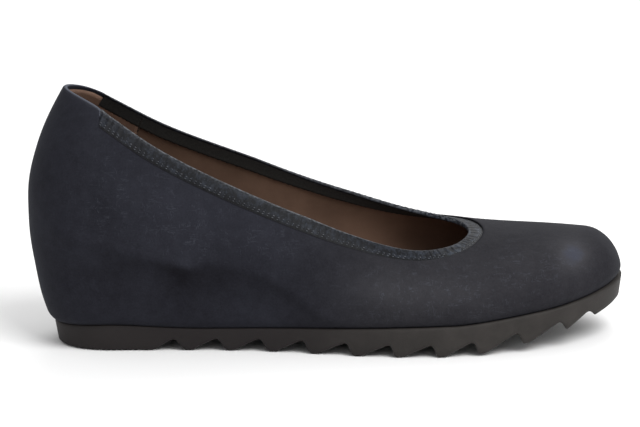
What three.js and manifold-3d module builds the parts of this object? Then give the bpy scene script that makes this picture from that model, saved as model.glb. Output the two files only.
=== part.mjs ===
// A right-foot ballet flat on a hidden wedge, in millimetres.
// X runs from the heel to the toe, Y from the lateral to the medial side, and Z up from the floor.
// The upper is one hollow shell on a last; the moulded outsole has a flat heel block and saw teeth;
// a folded binding runs along the topline, and the footbed with its wedge lies inside.
import * as THREE from "three";
import { mergeVertices } from "three/addons/utils/BufferGeometryUtils.js";
import Module from "manifold-3d";

const wasm = await Module();
wasm.setup();

// Driving dimensions of the last and the upper
const shoeLength = 252;
const ballWidth = 87;
const heelWidth = 62;
const counterHeight = 109.6;
const instepHeight = 61;
const vampHeight = 45.6;
const toeBoxHeight = 42.6;
const heelTuck = 8.4;
const counterLean = 16.4;
const heelRound = 26;
const toeRound = 37;
const toeCapRound = 15;
const ridgeShift = 9;
const wedgeTuck = 4.5;
const wallThickness = 2.2;

// The rolled edge where the upper turns under, above the outsole
const featherRoll = 1.8;
const featherRollHeight = 4;

// Driving dimensions of the outsole
const heelSole = 11.6;
const waistSole = 10.3;
const ballSole = 12.9;
const toeSole = 9.3;
const toeSpring = 14.8;
const springStart = 178;
const springPower = 1.5;
const soleTaper = 1.6;
const soleEdgeBevel = 1.2;
const heelBlockEnd = 52.3;
const firstTooth = 65.3;
const toothPitch = 17.6;
const toothCount = 8;
const toeToothPitch = 18.6;
const lastToothPitch = 12.9;
const toothDepth = 5.7;
const toothLand = 3;
const toothRounding = 2;

// Driving dimensions of the topline, the binding and the footbed
const throatAt = 186;
const tabShare = 0.135;
const tabStep = 0.6;
const bindingWidth = 6.4;
const bindingThickness = 0.7;
const bindingFold = 1;
const bindingDrop = 0.4;
const bindingInset = 0.1;
const insoleThickness = 3.5;
const wedgeLift = 34.5;
const bedCup = 1.5;
const gap = 0.3;

// Fineness of the faceted solids
const columnsPerSide = 56;
const columnsAtTab = 8;
const rowsUp = 10;
const castSteps = 26;
const columnSamples = 20;
const toeFan = 2.6;
const bedAcross = 8;
const soleStations = 44;
const soleSteps = 44;

const halfBall = ballWidth / 2;
const halfHeel = heelWidth / 2;

// Sections of the last, heel to toe. at: share of the length. lateral and medial: half widths.
// ridge: height of the top of the cone, above the collar where the shoe is open. shift: how far
// the ridge lies to the medial side. widest: share of the height where the section is widest.
// tuck: how far the foot of the wall leans in. lateralCurve and medialCurve: fullness exponents.
// core: share of the upper section that faces straight out.
const sections = [
  { at: 0.0, lateral: halfHeel, medial: halfHeel, ridge: 1.075 * counterHeight,
    shift: 0, widest: 0.45, tuck: wedgeTuck, lateralCurve: 2, medialCurve: 2, core: 0.86 },
  { at: 0.13, lateral: halfHeel, medial: halfHeel, ridge: 1.03 * counterHeight,
    shift: 0, widest: 0.45, tuck: wedgeTuck, lateralCurve: 2, medialCurve: 2, core: 0.86 },
  { at: 0.28, lateral: 1.03 * halfHeel, medial: 0.985 * halfHeel, ridge: 0.885 * counterHeight,
    shift: 0.16 * ridgeShift, widest: 0.46, tuck: 0.9 * wedgeTuck,
    lateralCurve: 2, medialCurve: 2, core: 0.8 },
  { at: 0.39, lateral: 0.775 * halfBall, medial: 0.71 * halfBall, ridge: 0.766 * counterHeight,
    shift: 0.44 * ridgeShift, widest: 0.42, tuck: 0.75 * wedgeTuck,
    lateralCurve: 1.95, medialCurve: 2.05, core: 0.7 },
  { at: 0.49, lateral: 0.865 * halfBall, medial: 0.775 * halfBall, ridge: 1.18 * instepHeight,
    shift: 0.7 * ridgeShift, widest: 0.32, tuck: 0.5 * wedgeTuck,
    lateralCurve: 1.85, medialCurve: 2.1, core: 0.55 },
  { at: 0.58, lateral: 0.955 * halfBall, medial: 0.865 * halfBall, ridge: instepHeight,
    shift: 0.94 * ridgeShift, widest: 0.26, tuck: 0.3 * wedgeTuck,
    lateralCurve: 1.78, medialCurve: 2.1, core: 0.35 },
  { at: 0.67, lateral: halfBall, medial: 0.945 * halfBall, ridge: 1.11 * vampHeight,
    shift: 1.05 * ridgeShift, widest: 0.25, tuck: 0.25 * wedgeTuck,
    lateralCurve: 1.78, medialCurve: 2.1, core: 0.15 },
  { at: 0.77, lateral: 0.955 * halfBall, medial: 0.96 * halfBall, ridge: vampHeight,
    shift: ridgeShift, widest: 0.25, tuck: 0.2 * wedgeTuck,
    lateralCurve: 1.85, medialCurve: 2.15, core: 0.12 },
  { at: 0.87, lateral: 0.8 * halfBall, medial: 0.87 * halfBall, ridge: 1.03 * toeBoxHeight,
    shift: 0.94 * ridgeShift, widest: 0.27, tuck: 0.15 * wedgeTuck,
    lateralCurve: 2, medialCurve: 2.2, core: 0.12 },
  { at: 1.0, lateral: 0.62 * halfBall, medial: 0.74 * halfBall, ridge: 0.985 * toeBoxHeight,
    shift: 0.78 * ridgeShift, widest: 0.3, tuck: 0.1 * wedgeTuck,
    lateralCurve: 2.1, medialCurve: 2.2, core: 0.12 },
];

// The heel curve seen from the side. up: share of the counter's height. back: how far the wall
// lies in front of the rearmost point.
const heelCurveRows = [
  { up: 0.08, back: heelTuck },
  { up: 0.18, back: 0.57 * heelTuck },
  { up: 0.3, back: 0.27 * heelTuck },
  { up: 0.42, back: 0.05 * heelTuck },
  { up: 0.53, back: 0 },
  { up: 0.63, back: 0.03 * counterLean },
  { up: 0.74, back: 0.2 * counterLean },
  { up: 0.86, back: 0.5 * counterLean },
  { up: 1.0, back: counterLean },
];

// The outsole's edge, heel to toe. thickness: from the tread to the upper. ledge: how far it stands
// out under the upper, as a share of the feather roll. lean: how far its side leans in towards the
// tread, as a share of the sole's taper.
const soleRows = [
  { at: 0.04, thickness: 0.85 * heelSole, ledge: 0.1, lean: 1 },
  { at: 0.12, thickness: heelSole, ledge: 0.1, lean: 1 },
  { at: 0.24, thickness: 1.01 * waistSole, ledge: 0.2, lean: 1 },
  { at: 0.36, thickness: waistSole, ledge: 0.4, lean: 0.8 },
  { at: 0.5, thickness: 1.1 * waistSole, ledge: 0.8, lean: 0.3 },
  { at: 0.66, thickness: ballSole, ledge: 1, lean: 0.1 },
  { at: 0.8, thickness: ballSole, ledge: 1, lean: 0.5 },
  { at: 0.9, thickness: 0.855 * ballSole, ledge: 1.05, lean: 0.8 },
  { at: 1.0, thickness: toeSole, ledge: 1.15, lean: 0.8 },
];

// The saw teeth under the outsole. at: share of the length. fall: run of a tooth's steep side, as
// a share of the depth. depth and land: shares of a tooth's depth and of its flat.
const toothRows = [
  { at: 0.26, fall: 0.7, depth: 0.95, land: 1 },
  { at: 0.4, fall: 0.55, depth: 1.02, land: 1 },
  { at: 0.54, fall: 0.42, depth: 1.02, land: 1 },
  { at: 0.61, fall: 0.32, depth: 0.97, land: 1 },
  { at: 0.68, fall: 0.36, depth: 0.97, land: 1 },
  { at: 0.75, fall: 0.42, depth: 1.04, land: 1 },
  { at: 0.82, fall: 0.42, depth: 1.04, land: 1 },
  { at: 0.9, fall: 0.45, depth: 0.85, land: 0.35 },
  { at: 0.95, fall: 0.45, depth: 0.66, land: 0.35 },
];

// The topline, from the back of the heel tab to the throat. at: share of the way from the back
// to the throat. out: half width of the opening, as a share of the ball's. The two heights are
// shares of the counter's height.
const toplineRows = [
  { at: 0.0, lateralOut: 0, medialOut: 0, lateralUp: 1, medialUp: 1 },
  { at: 0.035, lateralOut: 0.29, medialOut: 0.29, lateralUp: 0.976, medialUp: 0.981 },
  { at: 0.096, lateralOut: 0.41, medialOut: 0.41, lateralUp: 0.93, medialUp: 0.934 },
  { at: 0.24, lateralOut: 0.53, medialOut: 0.53, lateralUp: 0.783, medialUp: 0.808 },
  { at: 0.457, lateralOut: 0.64, medialOut: 0.6, lateralUp: 0.614, medialUp: 0.672 },
  { at: 0.687, lateralOut: 0.68, medialOut: 0.6, lateralUp: 0.469, medialUp: 0.538 },
  { at: 0.86, lateralOut: 0.62, medialOut: 0.5, lateralUp: 0.395, medialUp: 0.432 },
  { at: 0.96, lateralOut: 0.39, medialOut: 0.34, lateralUp: 0.394, medialUp: 0.424 },
  { at: 1.0, lateralOut: 0.02, medialOut: -0.02, lateralUp: 0.407, medialUp: 0.407 },
];

// Height of the footbed over the outsole, as a share of the wedge's lift.
const bedRows = [
  { at: 0.0, lift: 1 },
  { at: 0.15, lift: 0.97 },
  { at: 0.28, lift: 0.84 },
  { at: 0.4, lift: 0.54 },
  { at: 0.5, lift: 0.22 },
  { at: 0.6, lift: 0.03 },
  { at: 0.7, lift: 0 },
  { at: 1.0, lift: 0 },
];

// A natural cubic spline through the rows of a table, as a function of the key column.
function splineThrough(rows, key, column) {
  const xs = rows.map((row) => row[key]);
  const ys = rows.map((row) => row[column]);
  const last = xs.length - 1;
  const bend = new Array(last + 1).fill(0);
  const carry = new Array(last + 1).fill(0);
  for (let i = 1; i < last; i++) {
    const share = (xs[i] - xs[i - 1]) / (xs[i + 1] - xs[i - 1]);
    const pivot = share * bend[i - 1] + 2;
    const slopeAfter = (ys[i + 1] - ys[i]) / (xs[i + 1] - xs[i]);
    const slopeBefore = (ys[i] - ys[i - 1]) / (xs[i] - xs[i - 1]);
    bend[i] = (share - 1) / pivot;
    carry[i] = ((6 * (slopeAfter - slopeBefore)) / (xs[i + 1] - xs[i - 1]) - share * carry[i - 1]) / pivot;
  }
  for (let i = last - 1; i > 0; i--) bend[i] = bend[i] * bend[i + 1] + carry[i];
  bend[0] = 0;
  return (value) => {
    const x = Math.min(Math.max(value, xs[0]), xs[last]);
    let i = 0;
    while (i < last - 1 && x > xs[i + 1]) i++;
    const step = xs[i + 1] - xs[i];
    const before = (xs[i + 1] - x) / step;
    const after = (x - xs[i]) / step;
    const cubic = (before ** 3 - before) * bend[i] + (after ** 3 - after) * bend[i + 1];
    return before * ys[i] + after * ys[i + 1] + (cubic * step * step) / 6;
  };
}

// One spline of the length for each column of a table.
function alongShoe(rows, column) {
  const spline = splineThrough(rows, "at", column);
  return (x) => spline(x / shoeLength);
}

const last = Object.fromEntries(
  Object.keys(sections[0]).filter((name) => name !== "at").map((name) => [name, alongShoe(sections, name)]),
);
const soleThickness = alongShoe(soleRows, "thickness");
const ledgeShare = alongShoe(soleRows, "ledge");
const leanShare = alongShoe(soleRows, "lean");
const toothFall = alongShoe(toothRows, "fall");
const toothDepthShare = alongShoe(toothRows, "depth");
const toothLandShare = alongShoe(toothRows, "land");
const bedLiftShare = alongShoe(bedRows, "lift");
const heelCurveShare = splineThrough(heelCurveRows, "up", "back");
const heelCurve = (z) => heelCurveShare(z / counterHeight);

const clamp = (value, low, high) => Math.min(Math.max(value, low), high);

// Height of the tread's lowest points: flat from the heel to the ball, then an arc up to the toe.
function treadHeight(x) {
  const past = Math.max(0, x - springStart) / (shoeLength - springStart);
  return toeSpring * past ** springPower;
}

const featherHeight = (x) => treadHeight(x) + soleThickness(x);

// A quarter of an ellipse: 0 at the end of the shoe, 1 from the stated distance on.
function roundEnd(distance, radius, power) {
  const left = clamp(1 - distance / radius, 0, 1);
  return (1 - left ** power) ** (1 / power);
}

const heelPlanPower = 2.2;
const toePlanPower = 2;
const toeCapPower = 2.1;
const tuckPower = 1.5;

// The lateral and medial wall of the last at one length and height, moved in by inset, or null
// where the shoe has no wall there.
function wallsAt(x, z, inset) {
  const feather = featherHeight(x);
  const above = clamp((z - feather) / featherRollHeight, 0, 1);
  const side = inset + featherRoll * (1 - above) ** 2;
  const fromHeel = x - heelCurve(z) - side;
  const fromToe = shoeLength - side - x;
  if (fromHeel <= 0 || fromToe <= 0) return null;
  const cap = roundEnd(fromToe, toeCapRound, toeCapPower);
  const top = feather + (last.ridge(x) - feather) * cap - inset;
  if (z >= top) return null;
  const widest = feather + last.widest(x) * (top - feather);
  const ends = roundEnd(fromHeel, heelRound, heelPlanPower) * roundEnd(fromToe, toeRound, toePlanPower);
  const under = clamp((widest - z) / (widest - feather), 0, 1);
  const leanIn = last.tuck(x) * under ** tuckPower;
  const over = clamp((z - widest) / (top - widest), 0, 1);
  const shift = last.shift(x);
  const reach = (half, power) => (half - side - leanIn) * ends * (1 - over ** power) ** (1 / power);
  return {
    lateral: shift - reach(last.lateral(x) + shift, last.lateralCurve(x)),
    medial: shift + reach(last.medial(x) - shift, last.medialCurve(x)),
  };
}

// Halves the way between a place where a test holds and one where it doesn't, down to its edge.
function edgeOf(test, holds, fails) {
  let near = holds;
  let far = fails;
  for (let step = 0; step < castSteps; step++) {
    const middle = (near + far) / 2;
    if (test(middle)) near = middle;
    else far = middle;
  }
  return near;
}

// The point of the wall on a ray from the core of the last through a guide point.
const heelCore = 25;
const toeCore = 34;
function coreFor(guide) {
  const coreX = clamp(guide.x, heelCurve(guide.z) + heelCore, shoeLength - toeCore);
  const ridge = last.ridge(coreX);
  const widest = featherHeight(coreX) + last.widest(coreX) * (ridge - featherHeight(coreX));
  const coreZ = Math.min(guide.z, widest + last.core(coreX) * (ridge - widest));
  const walls = wallsAt(coreX, coreZ, 0);
  return new THREE.Vector3(coreX, (walls.lateral + walls.medial) / 2, coreZ);
}
function castToWall(guide, inset) {
  const core = coreFor(guide);
  const ray = guide.clone().sub(core).normalize();
  const inside = (distance) => {
    const point = core.clone().addScaledVector(ray, distance);
    const at = wallsAt(point.x, point.z, inset);
    return at && point.y > at.lateral && point.y < at.medial;
  };
  return core.clone().addScaledVector(ray, edgeOf(inside, 0, ballWidth));
}

// Points of a line at the given shares of its length.
function pointsAlong(points, shares) {
  const reached = [0];
  for (let i = 1; i < points.length; i++) reached.push(reached[i - 1] + points[i].distanceTo(points[i - 1]));
  let i = 0;
  return shares.map((share) => {
    const wanted = reached.at(-1) * share;
    while (i < points.length - 2 && reached[i + 1] < wanted) i++;
    const part = (wanted - reached[i]) / (reached[i + 1] - reached[i]);
    return points[i].clone().lerp(points[i + 1], part);
  });
}

// Shares of the way along the shoe, close together at its round ends.
const endedShares = (count) =>
  Array.from({ length: count + 1 }, (_, i) => (i === count ? 1 : (1 - Math.cos((Math.PI * i) / count)) / 2));

// Both walls at a share of the way along the shoe, on a level given by its height and inset. The
// walls meet where the level starts and ends.
function wallsOnLevel(share, height, wallHeight, inset) {
  const walls = (x) => wallsAt(x, wallHeight(x), inset(x));
  const start = edgeOf(walls, shoeLength / 2, -shoeLength / 10);
  const end = edgeOf(walls, shoeLength / 2, 1.1 * shoeLength);
  const x = start + (end - start) * share;
  const shift = last.shift(x);
  const pinched = share === 0 || share === 1;
  const { lateral, medial } = pinched ? { lateral: shift, medial: shift } : walls(x);
  const z = height(x);
  return { lateral: new THREE.Vector3(x, lateral, z), medial: new THREE.Vector3(x, medial, z) };
}

// Where the wall's columns stand, as shares of the topline: evenly along the heel tab, a close
// pair at the step where it ends, and evenly from there to the throat. Their shares of the
// outsole's edge lag behind, so that the columns fan out round the toe.
const stepShare = tabStep / shoeLength;
const evenShares = (from, to, count) => Array.from({ length: count + 1 }, (_, i) => from + ((to - from) * i) / count);
const footShares = [
  ...evenShares(0, tabShare - stepShare, columnsAtTab),
  ...evenShares(tabShare + stepShare, 1, columnsPerSide - columnsAtTab - 1),
];
const topShares = footShares.map((share) => {
  const past = Math.max(0, share - tabShare) / (1 - tabShare);
  return share + toeFan * past ** 2 * (1 - past) ** 2;
});

// Where the upper meets the outsole, on one side, from the heel to the toe.
const outlineSamples = 160;
function featherLine(side) {
  const edge = (x) => featherHeight(x) + gap;
  const points = endedShares(outlineSamples).map((share) => wallsOnLevel(share, edge, featherHeight, () => 0)[side]);
  return pointsAlong(points, footShares);
}

// The topline on one side, from the heel tab to the throat.
const toplineStart = counterLean;
const rowPoint = (row, side) =>
  new THREE.Vector3(
    toplineStart + row.at * (throatAt - toplineStart),
    (side === "lateral" ? -row.lateralOut : row.medialOut) * halfBall,
    (side === "lateral" ? row.lateralUp : row.medialUp) * counterHeight,
  );
const toplineCurve = new THREE.CatmullRomCurve3(
  [
    ...toplineRows.map((row) => rowPoint(row, "lateral")),
    ...toplineRows.slice(1, -1).reverse().map((row) => rowPoint(row, "medial")),
  ],
  true,
);
function topLine(side) {
  const points = Array.from({ length: outlineSamples + 1 }, (_, i) => {
    const half = i / outlineSamples / 2;
    return toplineCurve.getPoint(side === "lateral" ? half : 1 - half);
  });
  return pointsAlong(points.map((point) => castToWall(point, 0)), topShares);
}

// One column of the upper's wall, from the topline down to the outsole. It leaves the topline
// square to it and then swings to its place on the outsole.
const squareShare = 0.3;
class Column {
  constructor(top, foot, alongTopline, isTab) {
    this.top = top;
    this.foot = foot;
    this.isTab = isTab;
    const outward = top.clone().sub(coreFor(top));
    const square = alongTopline.clone().cross(outward).normalize();
    const drop = foot.clone().sub(top);
    if (square.dot(drop) < 0) square.negate();
    this.bend = top.clone().addScaledVector(square, squareShare * drop.length());
    this.reached = [0];
    let before = castToWall(top, 0);
    for (let i = 1; i <= columnSamples; i++) {
      const point = this.cast(i / columnSamples, 0);
      this.reached.push(this.reached[i - 1] + point.distanceTo(before));
      before = point;
    }
    this.height = this.reached.at(-1);
  }

  cast(share, inset) {
    const upper = this.top.clone().lerp(this.bend, share);
    const lower = this.bend.clone().lerp(this.foot, share);
    return castToWall(upper.lerp(lower, share), inset);
  }

  // The point a given distance below the topline, inset from the outer face.
  at(below, inset) {
    let i = 0;
    while (i < columnSamples - 1 && this.reached[i + 1] < below) i++;
    const part = (below - this.reached[i]) / (this.reached[i + 1] - this.reached[i]);
    return this.cast((i + part) / columnSamples, inset);
  }

  // The point where the wall stands on the outsole, inset from the outer face.
  footAt(inset) {
    const point = this.cast(1, inset);
    point.z = featherHeight(point.x) + gap;
    return point;
  }
}

// All columns in a loop: down the lateral side from heel to toe, and back up the medial side.
const loopOf = (line) => [...line("lateral"), ...line("medial").slice(1, -1).reverse()];
const tops = loopOf(topLine);
const feet = loopOf(featherLine);
const allColumns = tops.map((top, i) => {
  const next = tops[(i + 1) % tops.length];
  const before = tops.at(i - 1);
  const fromHeel = Math.min(i, tops.length - i);
  return new Column(top, feet[i], next.clone().sub(before), fromHeel <= columnsAtTab);
});
const lateralColumns = allColumns.slice(0, columnsPerSide + 1);
const medialColumns = [allColumns[0], ...allColumns.slice(columnsPerSide).reverse()];

// The corners of the triangles that fill a ring seen from the end, wound the same way as the ring.
function capOf(ring) {
  const flat = ring.map((point) => new THREE.Vector2(point.y, point.z));
  const winding = THREE.ShapeUtils.isClockWise(flat);
  return THREE.ShapeUtils.triangulateShape(flat, []).flatMap((corners) => {
    const same = THREE.ShapeUtils.isClockWise(corners.map((corner) => flat[corner])) === winding;
    return same ? corners : corners.toReversed();
  });
}

// A closed solid from a list of equal rings of points. Its ends are joined into a loop, closed by
// flat caps, or already pinched shut by rings that have no width.
function solidFromRings(rings, ends) {
  const across = rings[0].length;
  const corners = [];
  const faces = [];
  rings.forEach((ring) => ring.forEach((point) => corners.push(point.x, point.y, point.z)));
  const pairs = ends === "looped" ? rings.length : rings.length - 1;
  for (let r = 0; r < pairs; r++) {
    const here = r * across;
    const next = ((r + 1) % rings.length) * across;
    for (let k = 0; k < across; k++) {
      const k2 = (k + 1) % across;
      faces.push(here + k, next + k, here + k2, here + k2, next + k, next + k2);
    }
  }
  if (ends === "capped") {
    const end = (rings.length - 1) * across;
    faces.push(...capOf(rings[0]));
    faces.push(...capOf(rings.at(-1)).reverse().map((corner) => corner + end));
  }
  const geometry = new THREE.BufferGeometry();
  geometry.setAttribute("position", new THREE.Float32BufferAttribute(corners, 3));
  geometry.setIndex(faces);
  return solidOf(geometry);
}

// A geometry as a manifold solid, facing outwards, without the faces that closed up in merging.
const mergeTolerance = 1e-3;
function solidOf(geometry) {
  geometry.deleteAttribute("normal");
  geometry.deleteAttribute("uv");
  const merged = mergeVertices(geometry, mergeTolerance);
  const index = merged.index.array;
  const kept = [];
  for (let i = 0; i < index.length; i += 3) {
    const [a, b, c] = [index[i], index[i + 1], index[i + 2]];
    if (a !== b && b !== c && c !== a) kept.push(a, b, c);
  }
  const build = (triVerts) =>
    new wasm.Manifold(
      new wasm.Mesh({
        numProp: 3,
        vertProperties: new Float32Array(merged.attributes.position.array),
        triVerts: new Uint32Array(triVerts),
      }),
    );
  const solid = build(kept);
  if (solid.volume() > 0) return solid;
  const turned = [];
  for (let i = 0; i < kept.length; i += 3) turned.push(kept[i], kept[i + 2], kept[i + 1]);
  return build(turned);
}

function geometryOf(solid) {
  const { vertProperties, triVerts } = solid.getMesh();
  const geometry = new THREE.BufferGeometry();
  geometry.setAttribute("position", new THREE.Float32BufferAttribute(vertProperties, 3));
  geometry.setIndex(Array.from(triVerts));
  geometry.computeVertexNormals();
  return geometry;
}

// How far below the topline the rows of the wall lie: closer together towards the foot.
const rowCrowding = 1.5;
function rowsBelow(column, from) {
  const share = (i) => 1 - (1 - i / rowsUp) ** rowCrowding;
  return Array.from({ length: rowsUp }, (_, i) => from + (column.height - from) * share(i));
}

// The upper: a ring of wall sections, each from the outer foot over the top to the inner foot.
// Past the heel tab the outer face steps in to seat the binding, and the rim lies lower.
const bindingEnd = bindingWidth + gap;
const seatInset = bindingInset + bindingThickness + gap;
const seatRim = bindingDrop + bindingFold + gap;
function upperSolid() {
  const rings = allColumns.map((column) => {
    const outer = rowsBelow(column, bindingEnd).map((below) => column.at(below, 0));
    const rim = column.isTab ? 0 : seatRim;
    const seat = column.isTab ? 0 : seatInset;
    const step = column.isTab ? bindingEnd / 2 : bindingEnd;
    const inner = rowsBelow(column, bindingEnd).map((below) => column.at(below, wallThickness));
    return [
      column.footAt(0),
      ...outer.toReversed(),
      column.at(step, seat),
      column.at(rim, seat),
      column.at(rim, wallThickness),
      ...inner,
      column.footAt(wallThickness),
    ];
  });
  return solidFromRings(rings, "looped");
}

// The binding: a folded strip that holds the wall's edge from one end of the tab to the other.
function bindingSolid() {
  const outside = bindingInset;
  const inside = wallThickness + gap + bindingThickness;
  const fold = bindingDrop + bindingFold;
  const foldSection = [
    [bindingWidth, outside],
    [bindingDrop + bindingThickness, outside],
    [bindingDrop, outside + bindingThickness],
    [bindingDrop, inside - bindingThickness],
    [bindingDrop + bindingThickness, inside],
    [bindingWidth, inside],
    [bindingWidth, wallThickness + gap],
    [fold, wallThickness + gap],
    [fold, outside + bindingThickness],
    [bindingWidth, outside + bindingThickness],
  ];
  const around = [...lateralColumns, ...medialColumns.slice(0, -1).reverse()];
  const rings = around
    .filter((column) => !column.isTab)
    .map((column) => foldSection.map(([below, inset]) => column.at(below, inset)));
  const clearOfStep = (end, next) => end.map((point, k) => point.clone().lerp(next[k], gap / point.distanceTo(next[k])));
  rings[0] = clearOfStep(rings[0], rings[1]);
  rings[rings.length - 1] = clearOfStep(rings.at(-1), rings.at(-2));
  return solidFromRings(rings, "capped");
}

// The footbed with its wedge: the inside of the upper's wall, cut off by the bed's own surface.
const bedHeight = (x) => featherHeight(x) + insoleThickness + wedgeLift * Math.max(0, bedLiftShare(x));
function insoleSolid() {
  const inset = wallThickness + gap;
  const innerWall = (column) => [
    ...rowsBelow(column, bindingEnd).map((below) => column.at(below, inset)),
    column.footAt(inset),
  ];
  const inside = lateralColumns.map((column, k) => [
    ...innerWall(column),
    ...innerWall(medialColumns[k]).toReversed(),
  ]);
  const slab = evenShares(-0.1, 1.1, soleSteps).map((share) => {
    const x = share * shoeLength;
    const top = evenShares(-1, 1, bedAcross).map((part) => {
      const rise = bedCup * Math.min(1, (part * ballWidth) ** 2 / halfHeel ** 2);
      return new THREE.Vector3(x, part * ballWidth, bedHeight(x) + rise - bedCup);
    });
    const bottom = featherHeight(x) + gap;
    return [...top, new THREE.Vector3(x, ballWidth, bottom), new THREE.Vector3(x, -ballWidth, bottom)];
  });
  return solidFromRings(inside, "pinched").intersect(solidFromRings(slab, "capped"));
}

// Points of a line whose corners are rounded by arcs.
const cornerSteps = 3;
function roundedLine(points, radius) {
  const path = new THREE.Path();
  path.moveTo(points[0].x, points[0].y);
  for (let i = 1; i < points.length - 1; i++) {
    const [before, corner, after] = [points[i - 1], points[i], points[i + 1]];
    const reach = Math.min(radius, corner.distanceTo(before) / 2, corner.distanceTo(after) / 2);
    const start = corner.clone().lerp(before, reach / corner.distanceTo(before));
    const end = corner.clone().lerp(after, reach / corner.distanceTo(after));
    path.lineTo(start.x, start.y);
    path.quadraticCurveTo(corner.x, corner.y, end.x, end.y);
  }
  path.lineTo(points.at(-1).x, points.at(-1).y);
  return path.getPoints(cornerSteps);
}

// The saw teeth from the side: a short land, a long rise towards the toe and a steep fall.
function treadLine() {
  const teeth = Array.from({ length: toothCount }, (_, i) => firstTooth + i * toothPitch);
  for (const pitch of [toeToothPitch, toeToothPitch, lastToothPitch]) teeth.push(teeth.at(-1) + pitch);
  const landEnds = [heelBlockEnd, ...teeth.map((x) => x + toothLand * toothLandShare(x))];
  const line = [new THREE.Vector2(-0.1 * shoeLength, 0)];
  teeth.forEach((tooth, i) => {
    const roof = tooth - toothDepth * toothFall(tooth);
    const depth = toothDepth * toothDepthShare(tooth);
    line.push(new THREE.Vector2(landEnds[i], treadHeight(landEnds[i])));
    line.push(new THREE.Vector2(roof, treadHeight(roof) + depth));
    line.push(new THREE.Vector2(tooth, treadHeight(tooth)));
  });
  const end = landEnds.at(-1);
  line.push(new THREE.Vector2(end, treadHeight(end)));
  const rest = 6;
  for (let i = 1; i <= rest; i++) {
    const x = end + ((1.1 * shoeLength - end) * i) / rest;
    line.push(new THREE.Vector2(x, treadHeight(x)));
  }
  return roundedLine(line, toothRounding);
}

// The outsole: the side profile, extruded across and cut to the tapered outline of the sole.
function outsoleSolid() {
  const tread = treadLine();
  const topEdge = evenShares(-0.1, 1.1, soleSteps).map((share) => {
    const x = share * shoeLength;
    return new THREE.Vector2(x, featherHeight(x));
  });
  const profile = new THREE.ExtrudeGeometry(new THREE.Shape([...tread, ...topEdge.toReversed()]), {
    depth: 2 * ballWidth,
    bevelEnabled: false,
  });
  profile.rotateX(Math.PI / 2);
  profile.translate(0, ballWidth, 0);

  const levels = [
    { up: -0.3, taper: soleTaper, bevel: 1.6 * soleEdgeBevel },
    { up: 0, taper: soleTaper, bevel: soleEdgeBevel },
    { up: 0.14, taper: 0.9 * soleTaper, bevel: 0 },
    { up: 1, taper: 0, bevel: 0 },
    { up: 1.3, taper: 0, bevel: 0 },
  ];
  const rings = endedShares(soleStations).map((share) => {
    const edges = levels.map(({ up, taper, bevel }) => {
      const height = (x) => treadHeight(x) + up * soleThickness(x);
      const inset = (x) => taper * leanShare(x) + bevel - featherRoll * ledgeShare(x);
      return wallsOnLevel(share, height, featherHeight, inset);
    });
    return [...edges.map((edge) => edge.lateral), ...edges.toReversed().map((edge) => edge.medial)];
  });
  return solidFromRings(rings, "pinched").intersect(solidOf(profile));
}

// Materials
const finish = (color, roughness) => new THREE.MeshStandardMaterial({ color, roughness, metalness: 0 });
const nubuck = finish(0x2b2d38, 0.85);
const trim = finish(0x262a33, 0.7);
const rubber = finish(0x35322f, 0.75);
const liningLeather = finish(0x5a4234, 0.7);

// The assembled shoe, with its origin on the floor under the middle of its length and width
const shoe = new THREE.Group();
function place(name, solid, material) {
  const mesh = new THREE.Mesh(geometryOf(solid), material);
  mesh.name = name;
  shoe.add(mesh);
}
place("outsole", outsoleSolid(), rubber);
place("upper", upperSolid(), nubuck);
place("collar_binding", bindingSolid(), trim);
place("insole", insoleSolid(), liningLeather);

const box = new THREE.Box3().setFromObject(shoe, true);
shoe.position.set(-(box.min.x + box.max.x) / 2, -(box.min.y + box.max.y) / 2, -box.min.z);

export default shoe;
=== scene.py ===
"""A right-foot ballet flat on a hidden wedge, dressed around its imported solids.

The last is worked out in millimetres from named sizes and short tables, as the solids are, and each
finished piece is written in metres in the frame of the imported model.
"""

import logging
import math
from dataclasses import dataclass, field
from enum import Enum
from typing import Callable, Sequence

import bmesh
import bpy
import numpy as np
from mathutils import Matrix, Vector


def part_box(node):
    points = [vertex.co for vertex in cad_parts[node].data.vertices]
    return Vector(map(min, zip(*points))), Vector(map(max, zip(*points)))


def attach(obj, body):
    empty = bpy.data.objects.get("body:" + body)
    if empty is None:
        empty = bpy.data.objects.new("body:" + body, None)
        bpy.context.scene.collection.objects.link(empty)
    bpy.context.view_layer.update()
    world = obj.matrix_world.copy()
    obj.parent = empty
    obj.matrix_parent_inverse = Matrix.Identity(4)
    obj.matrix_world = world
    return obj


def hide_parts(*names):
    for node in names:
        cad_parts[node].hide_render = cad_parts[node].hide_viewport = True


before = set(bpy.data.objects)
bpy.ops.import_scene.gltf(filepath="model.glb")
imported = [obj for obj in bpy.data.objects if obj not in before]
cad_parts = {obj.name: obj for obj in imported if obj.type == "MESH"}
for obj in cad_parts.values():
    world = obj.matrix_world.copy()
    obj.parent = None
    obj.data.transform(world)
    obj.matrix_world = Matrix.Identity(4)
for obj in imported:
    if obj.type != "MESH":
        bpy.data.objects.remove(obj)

LOG = logging.getLogger("ballet_flat")
METRES = 0.001
ROOT = "root"
HALVINGS = 30
TINY = 1e-9

Array = np.ndarray
Reading = Callable[[Array], Array]


class Side(Enum):
    """The two sides of a right shoe."""

    LATERAL = "lateral"
    MEDIAL = "medial"


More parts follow.
